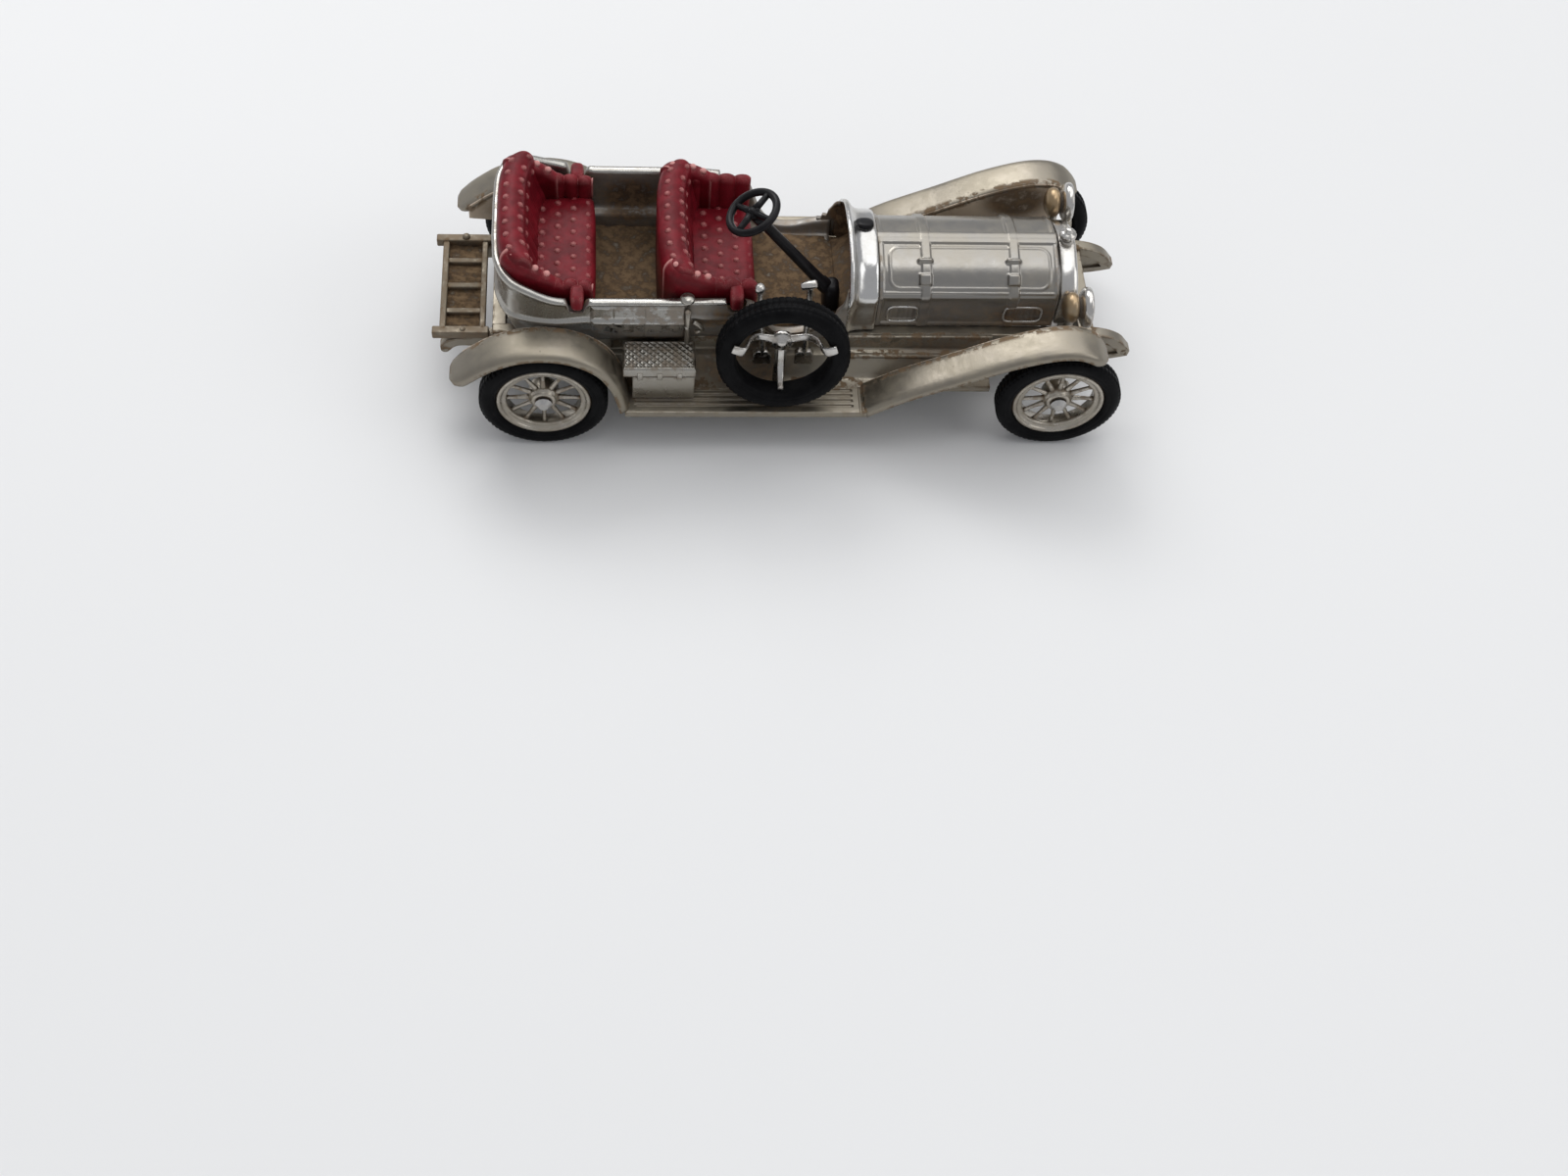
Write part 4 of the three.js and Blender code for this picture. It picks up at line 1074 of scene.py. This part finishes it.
piece("scuttle_shell", flared(SCUTTLE_OUTER, BODY_FOOT), PLATED_COWL, ["scuttle"])
piece("scuttle_lining", flared(SCUTTLE_INNER, FLOOR_Z - 0.4), PLATED_DASH)
piece("cowl_sides", both(cowl_sides()), PLATED_BODY, wall=0.5)
piece("bulkhead", bulkhead_face(), PLATED_DASH, wall=0.3)
piece("scuttle_insert", plug(), BLACK, ["scuttle_plug"])
piece("bonnet_skin", bonnet_skin(), PLATED_BONNET, ["bonnet"], wall=0.7)
piece("louvre_frames", both(louvre_frames()), PLATED_COWL)
piece("radiator_surround", radiator_shell(), PLATED_BRIGHT, ["radiator_shell"])
piece("radiator_tubes", radiator_core(), PLATED_DIRTY_AND_SHADED, ["radiator_core"], wall=0.15)
piece("filler_cap", radiator_cap(), PLATED_BRIGHT, ["radiator_cap"])


# ---- headlamps -------------------------------------------------------------------------

LAMP_Y, LAMP_Z = 9.2, 18.6


def lamp_turn(profile, side):
    """A piece turned about a lamp's axis, along X; the profile lists (x, radius)."""
    return spun([
        [(x, side * LAMP_Y + r * math.cos(a), LAMP_Z + r * math.sin(a)) for x, r in profile]
        for a in circle(56)
    ])


def lamp_body(side):
    return lamp_turn([
        (34.4, 0.0), (34.44, 0.6), (34.58, 1.12), (34.8, 1.5), (35.1, 1.8), (35.45, 1.95), (35.8, 1.96),
        (36.1, 1.84), (36.3, 1.6), (36.35, 1.3), (36.3, 0.0),
    ], side)


def lamp_rim(side):
    return lamp_turn([
        (36.2, 0.0), (36.25, 1.1), (36.5, 1.35), (36.7, 1.7), (36.85, 2.1), (37.05, 2.42), (37.35, 2.58),
        (37.7, 2.6), (37.92, 2.54), (38.0, 2.4), (37.98, 2.26), (37.8, 2.16), (37.62, 2.1), (37.7, 1.8),
        (37.84, 1.2), (37.93, 0.5), (37.95, 0.0),
    ], side)


def lamp_stand(side):
    bend = [(36.1, 7.9, 12.9), (36.1, 8.4, 14.4), (36.0, 9.0, 16.2), (36.0, LAMP_Y, 17.2)]
    radii = [0.75, 0.68, 0.62, 0.58, 0.55, 0.55, 0.55, 0.55, 0.58, 0.62, 0.7, 0.8]
    stem = tube(spline([(x, side * y, z) for x, y, z in bend], 12), radii, 16)
    foot = box((35.05, 36.95), tuple(sorted((side * 7.1, side * 8.6))), (12.6, 13.25))
    return join(stem, foot)


for name, side in (("left", 1), ("right", -1)):
    piece(f"lamp_drum_{name}", lamp_body(side), BRASSY, [f"headlamp_{name}"])
    piece(f"lamp_rim_{name}", lamp_rim(side), PLATED_BRIGHT)
    piece(f"lamp_stand_{name}", lamp_stand(side), PLATED, bevel=0.12)


# ---- seats -----------------------------------------------------------------------------

TUFT_ROW = 2.0
TUFT_SPACE = 2.1
STUD_RADIUS = 0.4
SEAT_DEPTH = 0.8
ROLL = 1.6


def tufts(u, v):
    """Height of staggered round buttons, each in a soft dimple, at a place on a padded face."""
    away = TUFT_SPACE
    for column in (math.floor(u / TUFT_ROW), math.ceil(u / TUFT_ROW)):
        step = v / TUFT_SPACE - 0.5 * (column % 2)
        across = (step - round(step)) * TUFT_SPACE
        away = min(away, math.hypot(u - column * TUFT_ROW, across))
    stud = 0.3 * math.sqrt(max(0.0, 1 - (away / STUD_RADIUS) ** 2))
    return stud - 0.1 * math.exp(-(away / 0.6) ** 2)


def cushion(front, rear, top, foot, half):
    """A buttoned seat cushion with a rolled front edge."""
    line = spline([
        (front - 0.1, foot), (front, top - 2.6), (front + 0.02, top - 1.2), (front - 0.25, top - 0.45),
        (front - 0.85, top - 0.05), (front - 1.7, top + 0.02),
        (rear + 2, top - 0.12), (rear - 0.3, top - 0.2),
    ], 130)
    rows = []
    for (x, z), (nx, nz), r in zip(line, normals_of(line), reach_of(line)):
        row = []
        fade = smooth(front + 0.1, front - 1.6, x) * smooth(top - 1.5, top - 0.4, z)
        for k in range(171):
            y = -half + 2 * half * k / 170
            crown = 0.2 * (1 - (y / half) ** 4) - 0.2
            h = tufts(r, y) * fade + crown
            row.append((x - nx * h, y, z - nz * h))
        rows.append(row)
    return loft(rows, ring=False, caps=False)


def seat_back(seat):
    """The buttoned back: a padded slab with a rolled top and rounded ends."""
    low = seat["seat_z"] - SEAT_DEPTH
    top, face, rear, lean = seat["back_top"], seat["back"], seat["back_rear"], seat["lean"]
    roll_x, roll_z = (face - lean + rear) / 2, top - ROLL
    half_roll = (face - lean - rear) / 2
    front = [
        (face + 0.1, low), (face, low + 1.2), (face - lean * 0.55, (low + roll_z) / 2 + 0.4),
        (face - lean, roll_z),
    ]
    over = [(roll_x + half_roll * math.cos(a), roll_z + ROLL * math.sin(a))
            for a in (math.pi * k / 8 for k in range(1, 9))]
    line = spline(front + over, 110)
    out, reaches = normals_of(line), reach_of(line)
    half, round_end = seat["back_half"], 1.5
    rows = []
    for k in range(170):
        y = -half + 2 * half * k / 169
        into = max(0.0, (abs(y) - half + round_end) / round_end)
        shrink = 0.45 + 0.55 * math.sqrt(max(0.0, 1 - into ** 2))
        bent_x = roll_x + 1.5 * (abs(y) / half) ** 4
        flute = 0.14 * (abs(math.cos(math.pi * y / TUFT_SPACE)) ** 0.6 - 1)
        section = []
        for (x, z), (nx, nz), reach in zip(line, out, reaches):
            shown = smooth(rear, rear + 0.9, x) * (1 - into)
            on_roll = smooth(roll_z - ROLL, roll_z - 0.8, z)
            puff = shown * (on_roll * tufts(reach, y) + (1 - on_roll) * flute)
            px, pz = x - nx * puff, z - nz * puff
            section.append((bent_x + (px - roll_x) * shrink, y, low + (pz - low) * (0.88 + 0.12 * shrink)))
        foot = seat["behind"]
        section += [(bent_x + (rear - roll_x) * shrink, y, foot), (bent_x, y, foot)]
        rows.append(section)
    return loft(rows)


def seat_wing(seat, side):
    """The padded wing that carries the roll of the back round and down to the arm, with its buttons."""
    low, half = seat["seat_z"] - SEAT_DEPTH, seat["back_half"]
    middle_x = (seat["back"] - seat["lean"] + seat["back_rear"]) / 2
    plan = spline([
        (middle_x - 0.2, half - 1.9), (middle_x + 0.7, half - 0.75), (seat["back"] + 0.2, half - 0.35),
        (seat["back"] + 2.6, seat["half"] + 0.75),
    ], 48)
    rows, studs = [], []
    for i, ((x, y), (nx, ny)) in enumerate(zip(plan, normals_of(plan))):
        t = i / 47
        crest = seat["back_top"] - 0.15 - (seat["back_top"] - seat["arm_top"]) * t ** 1.3
        thick = 1.3 - 0.5 * t
        section = [(x + nx * thick, side * (y + ny * thick), low)]
        for k in range(13):
            a = math.pi * k / 12
            c = thick * math.cos(a)
            section.append((x + nx * c, side * (y + ny * c), crest - thick + thick * math.sin(a)))
        section.append((x - nx * thick, side * (y - ny * thick), low))
        rows.append(section)
        if i in (8, 18, 28, 38):
            studs.append(ball((x, side * (y - 0.1), crest + 0.06), 0.42, 0.75))
    return join(loft(rows), *studs)


def seat_arm(seat, side):
    """A fluted arm with a scalloped top, from the back forward."""
    low, top = seat["seat_z"] - SEAT_DEPTH, seat["arm_top"]
    inner, thick = seat["half"], seat["arm_thick"]
    x0, x1 = seat["back"] - 1.6, seat["arm_front"]
    rows = []
    for i in range(100):
        x = x0 + (x1 - x0) * i / 99
        s = (x1 - x) - 1.05
        puff = abs(math.cos(math.pi * s / seat["flute"])) ** 0.55
        fall = seat["arm_fall"] * smooth(x0 + 2.5, x1, x)
        crest = top - fall - 0.55 * (1 - puff)
        end = math.sqrt(max(0.0, 1 - max(0.0, 1 - (x1 - x) / 0.5) ** 2))
        face = inner + 0.42 * (1 - puff) + 0.4 * (1 - end)
        back = inner + thick - 0.35 * (1 - end)
        mid, half = (face + back) / 2, (back - face) / 2
        section = [(x, side * (face - 0.05), low), (x, side * face, low + 1.0), (x, side * face, crest - 0.7)]
        section += [
            (x, side * (mid - half * math.cos(a)), crest - 0.7 + 0.7 * math.sin(a))
            for a in (math.pi * k / 8 for k in range(1, 8))
        ]
        section += [(x, side * back, crest - 0.7), (x, side * back, low)]
        rows.append(section)
    return loft(rows)


def arm_end(seat, side):
    """The block at the front of an arm that fills the notch in the tub's rim."""
    x, z0, z1 = seat["notch"], 20.25, seat["end_top"]
    outer, inner = seat["end_outer"], seat["half"] + 0.9
    middle_y, half_y = (outer + inner) / 2, (outer - inner) / 2
    levels = ((z0, 0.86), (z0 + 0.25, 0.97), (z1 - 0.7, 1.0), (z1 - 0.35, 0.95), (z1 - 0.1, 0.78), (z1, 0.45))
    return loft([
        [(x + 0.86 * a * grow, side * (middle_y + b * half_y * grow), z) for a, b in oval(28, 0.6, 0.6)]
        for z, grow in levels
    ])


def pair(make, seat):
    """The left and right pieces of a seat, as one shape."""
    return join(make(seat, 1), make(seat, -1))


REAR_SEAT = {
    "half": 8.1, "back": -32.0, "back_rear": -36.8, "back_half": 9.3, "arm_front": -25.0, "arm_top": 22.9,
    "arm_fall": 0.5, "arm_thick": 1.6, "back_top": 26.95, "lean": 1.3, "seat_z": 19.6, "behind": 17.0,
    "notch": NOTCH_XS[0], "end_outer": 11.9, "end_top": 22.4, "flute": 1.75, "end_sides": (1, -1),
}
FRONT_SEAT = {
    "half": 8.15, "back": -12.3, "back_rear": -17.0, "back_half": 9.6, "arm_front": -4.7, "arm_top": 23.2,
    "arm_fall": 0.3, "arm_thick": 1.6, "back_top": 25.6, "lean": 1.1, "seat_z": 18.1, "behind": 14.5,
    "notch": NOTCH_XS[1], "end_outer": 11.7, "end_top": 22.7, "flute": 2.05, "end_sides": (-1,),
}

for name, seat, front, rear in (("rear", REAR_SEAT, -24.7, -31.8), ("front", FRONT_SEAT, -4.5, -11.9)):
    top = seat["seat_z"]
    piece(f"{name}_cushion", cushion(front, rear, top, FLOOR_Z + 0.3, 8.25), RED, [f"{name}_seat"])
    piece(f"{name}_seat_back", seat_back(seat), RED)
    piece(f"{name}_seat_wings", pair(seat_wing, seat), RED)
    piece(f"{name}_seat_arms", pair(seat_arm, seat), RED)
    piece(f"{name}_arm_ends", join(*[arm_end(seat, side) for side in seat["end_sides"]]), RED)


# ---- steering and levers ---------------------------------------------------------------

COLUMN_Y = -4.3
STEER_CENTRE = (-5.5, COLUMN_Y, 30.0)
STEER_TILT = -28
LEVER_Y = -11.1
GATE_Y = (-11.55, -10.65)


def steering_wheel():
    """The rim, four spokes and hub, tilted onto the column."""
    radius, thick = 3.15, 0.5
    rim = []
    for a in circle(72):
        ring = []
        for b in circle(16):
            r = radius + thick * math.cos(b)
            ring.append((r * math.cos(a), r * math.sin(a), thick * math.sin(b) * 0.95))
        rim.append(ring)
    spokes = []
    for angle in (45, 135, 225, 315):
        c, s = math.cos(math.radians(angle)), math.sin(math.radians(angle))
        path = [(c * r, s * r, z) for r, z in ((0.5, 0.1), (1.4, 0.0), (2.4, -0.02), (3.1, 0.0))]
        spokes.append(tube(path, [0.5, 0.42, 0.40, 0.42]))
    hub = [
        (0.0, -0.55), (0.7, -0.55), (0.9, -0.35), (0.92, 0.1), (0.75, 0.35), (0.45, 0.45), (0.4, 0.6),
        (0.0, 0.66),
    ]
    wheel = join(loft(rim, loop=True), *spokes, turned(hub, 32))
    return moved(turned_by(wheel, STEER_TILT, "Y"), *STEER_CENTRE)


def steering_column():
    foot, top = Vector((5.2, COLUMN_Y, 16.0)), Vector((-5.15, COLUMN_Y, 29.5))
    path = [foot.lerp(top, t) for t in (0, 0.02, 0.12, 0.14, 0.3, 0.6, 0.9, 0.92, 0.99, 1.0)]
    return tube(path, [0.75, 1.0, 1.0, 0.8, 0.76, 0.7, 0.66, 0.78, 0.76, 0.5], 20)


def column_boot():
    """The tapered block the column rises from."""
    levels = ((13.9, 1.0), (14.2, 1.04), (16.2, 0.98), (17.1, 0.86), (17.5, 0.66), (17.6, 0.4))
    return loft([
        [(5.35 + 1.1 * grow * a, COLUMN_Y + 1.44 * grow * b, z) for a, b in oval(32, 0.6, 0.6)]
        for z, grow in levels
    ])


def lever_bar(path, radii, sides=14):
    """A round bar through (x, z) stations in the plane of the levers."""
    return tube([(x, LEVER_Y, z) for x, z in path], radii, sides)


def handbrake():
    lever = lever_bar([(-3.6, 11.6), (-3.8, 15), (-4.2, 19), (-4.55, 23.2)], [0.5, 0.42, 0.36, 0.34])
    quadrant = [(-4.8, 10.0), (-2.4, 10.0), (-2.4, 11.6), (-3.0, 12.4), (-4.3, 12.4), (-4.8, 11.6)]
    return join(lever, side_prism(quadrant, GATE_Y), ball((-4.6, LEVER_Y, 23.8), 0.7))


def gear_change():
    lever = lever_bar([(1.8, 11.6), (1.75, 16), (1.65, 20), (1.6, 24.2)], [0.5, 0.42, 0.38, 0.4])
    grip = lever_bar([(0.42, 24.2), (0.5, 24.22), (1.4, 24.5), (2.3, 24.77), (2.4, 24.8)],
                     [0.3, 0.5, 0.56, 0.5, 0.3], 16)
    gate = [(0.6, 10.0), (3.0, 10.0), (3.0, 11.8), (2.6, 12.4), (1.0, 12.4), (0.6, 11.8)]
    return join(lever, grip, side_prism(gate, GATE_Y))


piece("steering_ring", steering_wheel(), BLACK, ["steering_wheel"])
piece("steering_shaft", steering_column(), BLACK, ["steering_column"])
piece("steering_boot", column_boot(), BLACK)
piece("brake_lever", handbrake(), PLATED_BRIGHT, ["handbrake_lever"], bevel=0.1)
piece("gear_change", gear_change(), PLATED_BRIGHT, ["gear_lever"], bevel=0.1)


# ---- tyres and wheels ------------------------------------------------------------------

TREAD_TEETH = 66
SPOKES = 12
TYRE_BORE, TYRE_RADIUS = 6.02, 8.15


def tyre_profile(bore, outer, y0, y1):
    """A rounded tyre section with a bead, a sidewall ring and a flat tread."""
    mid, half = (y0 + y1) / 2, (y1 - y0) / 2
    right = [
        (bore, 0.62), (bore + 0.12, 0.82), (bore + 0.35, 0.94), (bore + 0.62, 0.99), (bore + 0.72, 0.96),
        (bore + 0.82, 0.99), (bore + 1.05, 1.0), (outer - 0.75, 0.97), (outer - 0.42, 0.86),
        (outer - 0.2, 0.70), (outer - 0.17, 0.66), (outer - 0.02, 0.64), (outer, 0.42),
        (outer, 0.12), (outer - 0.16, 0.09), (outer - 0.16, 0.0),
    ]
    return [(r, mid + half * w) for r, w in right] + [(r, mid - half * w) for r, w in right[-2::-1]]


def tyre_shape(bore, outer, y0, y1):
    """A tyre turned about Y, its tread notched all round."""
    def ripple(angle, radius):
        if radius < outer - 0.19:
            return radius
        phase = (angle * TREAD_TEETH / (2 * math.pi)) % 1.0
        return radius - (0.17 if phase > 0.62 else 0.0)
    return lathe(tyre_profile(bore, outer, y0, y1), TREAD_TEETH * 5, ripple)


def wheel_shape(sign):
    """A spoked wheel about Y at the origin, its outer face towards sign."""
    rim = [
        (4.72, 14.5), (4.9, 14.35), (5.9, 14.4), (6.0, 14.6), (6.0, 16.3), (5.92, 16.52), (5.75, 16.6),
        (5.5, 16.58), (5.38, 16.42), (5.3, 16.2), (5.1, 16.15), (4.85, 16.2), (4.72, 16.1), (4.66, 15.8),
    ]
    hub = [
        (0.9, 13.7), (1.8, 13.7), (1.9, 13.85), (1.9, 15.6), (1.82, 15.85), (1.62, 15.95), (1.58, 16.2),
        (1.45, 16.36), (1.2, 16.4), (0.9, 16.4),
    ]
    path = [(1.6, 15.45, 0), (2.2, 15.46, 0), (3.2, 15.5, 0), (4.2, 15.55, 0), (4.85, 15.6, 0)]
    spoke = tube(path, [0.40, 0.34, 0.27, 0.25, 0.33], 10)
    spokes = [turned_by(spoke, 360 / SPOKES * i, "Y") for i in range(SPOKES)]
    shape = join(lathe(rim, 96), lathe(hub, 40), *spokes)
    return shape if sign > 0 else mirrored(shape)


def wheel_pieces():
    """The four wheels and their tyres, each pair riding on its own body."""
    for end in ("front", "rear"):
        for name, sign in (("left", 1), ("right", -1)):
            node = f"wheel_{end}_{name}"
            x, _, z = middle(node)
            body = f"{end}_{name}_wheel"
            tyre = tyre_shape(TYRE_BORE, TYRE_RADIUS, *extents(f"tyre_{end}_{name}")[1])
            wheel = moved(wheel_shape(sign), x, 0, z)
            piece(f"spoked_{node}", wheel, PLATED_WHEEL, [node], body)
            piece(f"treaded_tyre_{end}_{name}", moved(tyre, x, 0, z), RUBBER,
                  [f"tyre_{end}_{name}"], body)


wheel_pieces()


# ---- spare tyre and its carrier --------------------------------------------------------

SPARE_X, SPARE_MIDDLE_Y, SPARE_Z = middle("spare_tyre")
SPARE_HALF = 1.6
SPARE_LEAN = 7


def leant(shape):
    """Tips a shape made upright about the origin so its top leans in, and places it at the spare tyre."""
    return moved(turned_by(shape, -SPARE_LEAN, "X"), SPARE_X, SPARE_MIDDLE_Y, SPARE_Z)


def crank(angle, path):
    """A flat strap out from the hub through (radius, y, half width) stations, at an angle round the eye."""
    c, s = math.cos(math.radians(angle)), math.sin(math.radians(angle))
    line = spline([(r, y) for r, y, _ in path], 30)
    widths = resampled([(w, 0) for _, _, w in path], 30)
    rows = []
    for (r, y), (ny, nr), (wide, _) in zip(line, normals_of(line), widths):
        ring = []
        for a, b in oval(14, 0.6, 0.6):
            across, deep = wide * a, 0.24 * b
            radius, depth = r + ny * deep, y + nr * deep
            ring.append((radius * c - across * s, depth, radius * s + across * c))
        rows.append(ring)
    return loft(rows)


def carrier():
    """The hub and three cranked straps that grip the spare tyre by its eye."""
    back = SPARE_HALF + 0.45
    face = -SPARE_HALF
    hub = [
        (0.0, back + 0.75), (1.3, back + 0.75), (1.5, back + 0.5), (1.5, back), (1.2, back - 0.25),
        (0.7, back - 0.35), (0.6, back - 0.6), (0.0, back - 0.68),
    ]
    side = [
        (0.7, back + 0.1, 0.6), (2.2, back - 0.05, 0.62), (3.6, back - 0.5, 0.55), (4.6, back - 1.7, 0.5),
        (5.1, face + 0.5, 0.55), (5.5, face - 0.25, 0.75), (6.4, face - 0.35, 0.8), (6.9, face - 0.3, 0.6),
    ]
    low = [
        (0.7, back + 0.1, 0.5), (2.4, back - 0.1, 0.5), (4.0, back - 0.7, 0.45), (5.0, back - 1.6, 0.42),
        (5.5, 0.3, 0.45), (5.6, -0.6, 0.35),
    ]
    return leant(join(lathe(hub, 32), crank(20, side), crank(160, side), crank(270, low)))


def carrier_post():
    """The upright behind the spare tyre that holds its hub."""
    y = SPARE_MIDDLE_Y
    return box((SPARE_X - 0.75, SPARE_X + 0.75), (y + 1.95, y + 2.5), (7.3, SPARE_Z))


piece("spare_tread", leant(tyre_shape(6.0, 8.43, -SPARE_HALF, SPARE_HALF)), RUBBER, ["spare_tyre"])
piece("spare_straps", carrier(), PLATED_BRIGHT, ["spare_carrier"])
piece("spare_post", carrier_post(), PLATED, bevel=0.12)


# ---- toolbox and luggage rack ----------------------------------------------------------

def toolbox_chest():
    """The chest and its overhanging lid, joined by a narrow neck."""
    (x0, x1), (y0, y1), (z0, z1) = extents("toolbox")
    chest_x0 = x0 + 1.2
    outline = [(y0 + 0.12, z0), (y0 + 0.12, 11.6), (y1, 11.6), (y1, 10), (y1 - 1.5, z0)]
    chest = front_prism(outline, (chest_x0, x1 - 0.1))
    lid = box((x0, x1), (y0, y1), (11.85, z1 - 0.25))
    neck = box((chest_x0 + 0.2, x1 - 0.3), (y0 + 0.3, y1), (11.5, 12.0))
    return join(chest, lid, neck)


def toolbox_lid():
    """The lid's chequered top, with a plain border."""
    (x0, x1), (y0, y1), (_, z1) = extents("toolbox")

    def place(u, v):
        x, y = x0 + 0.06 + (x1 - x0 - 0.12) * u, y0 + 0.06 + (y1 - y0 - 0.12) * v
        border = min(x - x0, x1 - x, y - y0, y1 - y)
        one_way, other_way = [abs(math.sin(math.pi * d / 0.92)) for d in (x + y, x - y)]
        hatch = max(one_way, 0.8 * other_way)
        inside = smooth(0.32, 0.46, border)
        edge = -0.28 * (1 - smooth(0.0, 0.22, border))
        return x, y, z1 + edge - inside * 0.26 * (1 - hatch ** 1.4)

    return grid(230, 140, place)


def toolbox_tabs():
    (x0, _), (y0, _), _ = extents("toolbox")
    return join(*[box((x0 + d, x0 + d + 0.7), (y0 - 0.12, y0 + 0.2), (11.3, 12.5)) for d in (1.8, 4.3, 6.8)])


def rack_bars():
    """The rack's side bars, cross rails, slats and the two studs on its side bars."""
    (x0, _), (y0, y1), (z0, _) = extents("luggage_rack")
    top = 12.3
    ends = [box((x0, -38.3), y, (z0 + 0.1, top)) for y in ((7.3, y1), (y0, -7.3))]
    rails = [box(x, (-7.8, 7.8), (z0 + 0.2, top - 0.2)) for x in ((-44.55, -43.75), (-39.5, -38.75))]
    slats = [box((-44.2, -39.0), (y - 0.42, y + 0.42), (z0 + 0.1, top - 0.45)) for y in (-4.3, 0, 4.3)]
    studs = [ball((-41.6, 7.9, 12.4), 0.5, 0.8), ball((-41.6, -7.9, 12.25), 0.38, 0.6)]
    return join(*ends, *rails, *slats, *studs)


def rack_floor():
    def place(u, v):
        x, y = -44.1 + 5.0 * u, -7.4 + 14.8 * v
        return x, y, 11.25 + 0.06 * math.sin(3.1 * x) * math.sin(2.3 * y) + 0.05 * math.sin(7 * y + x)
    return grid(40, 90, place)


piece("toolbox_chest", toolbox_chest(), PLATED, ["toolbox"], bevel=0.14)
piece("toolbox_lid", toolbox_lid(), PLATED)
piece("toolbox_catches", toolbox_tabs(), PLATED, bevel=0.1)
piece("rack_bars", rack_bars(), PLATED_DIRTY_AND_SHADED, ["luggage_rack"], bevel=0.18)
piece("rack_floor", rack_floor(), PLATED_FLOOR, wall=0.2)


# ---- CAD nodes that stay ---------------------------------------------------------------

keep_node("base_plate", STEEL, 0.2)
for name in ("rivet_front", "rivet_rear", "axle_front", "axle_rear"):
    keep_node(name, STEEL, 0.1)


# ---- stage and light -------------------------------------------------------------------

FLOOR_HALF = 40.0


def make_floor():
    """The pale ground, far wider than the car."""
    mesh = bpy.data.meshes.new("floor")
    corners = [(x * FLOOR_HALF, y * FLOOR_HALF, 0) for x, y in ((-1, -1), (1, -1), (1, 1), (-1, 1))]
    mesh.from_pydata(corners, [], [(0, 1, 2, 3)])
    g = Graph("floor")
    shade = g.noise(0.004, 2)
    g.set(base_color=g.blend(shade, (0.72, 0.72, 0.715, 1), (0.76, 0.76, 0.755, 1)), roughness=0.7)
    mesh.materials.append(g.material)
    floor = link("floor", mesh)


def softbox(name, place, size, power):
    """A rectangular light that faces the car."""
    data = bpy.data.lights.new(name, "AREA")
    data.shape = "RECTANGLE"
    data.size, data.size_y = size
    data.energy = power
    lamp = link(name, data)
    lamp.location = place
    lamp.rotation_mode = "QUATERNION"
    lamp.rotation_quaternion = (Vector(place) - Vector((0, 0, 0.015))).to_track_quat("Z", "Y")


def make_world():
    world = bpy.data.worlds.new("studio")
    world.use_nodes = True
    background = world.node_tree.nodes["Background"]
    background.inputs[0].default_value = (0.93, 0.95, 1.0, 1)
    background.inputs[1].default_value = 0.5
    bpy.context.scene.world = world
    bpy.context.scene.view_settings.view_transform = "Standard"


def make_sun():
    """A broad, weak light that keeps the floor evenly pale out to the horizon."""
    data = bpy.data.lights.new("sun", "SUN")
    data.energy = 1.0
    data.angle = math.radians(60)
    link("sun", data).rotation_euler = (math.radians(-25), math.radians(15), 0)


make_floor()
make_world()
make_sun()
softbox("key", (-0.16, 0.40, 0.42), (0.36, 0.24), 1.3)
softbox("fill", (0.45, -0.12, 0.35), (0.30, 0.30), 0.4)
softbox("top", (0.02, -0.05, 0.60), (0.30, 0.20), 0.35)
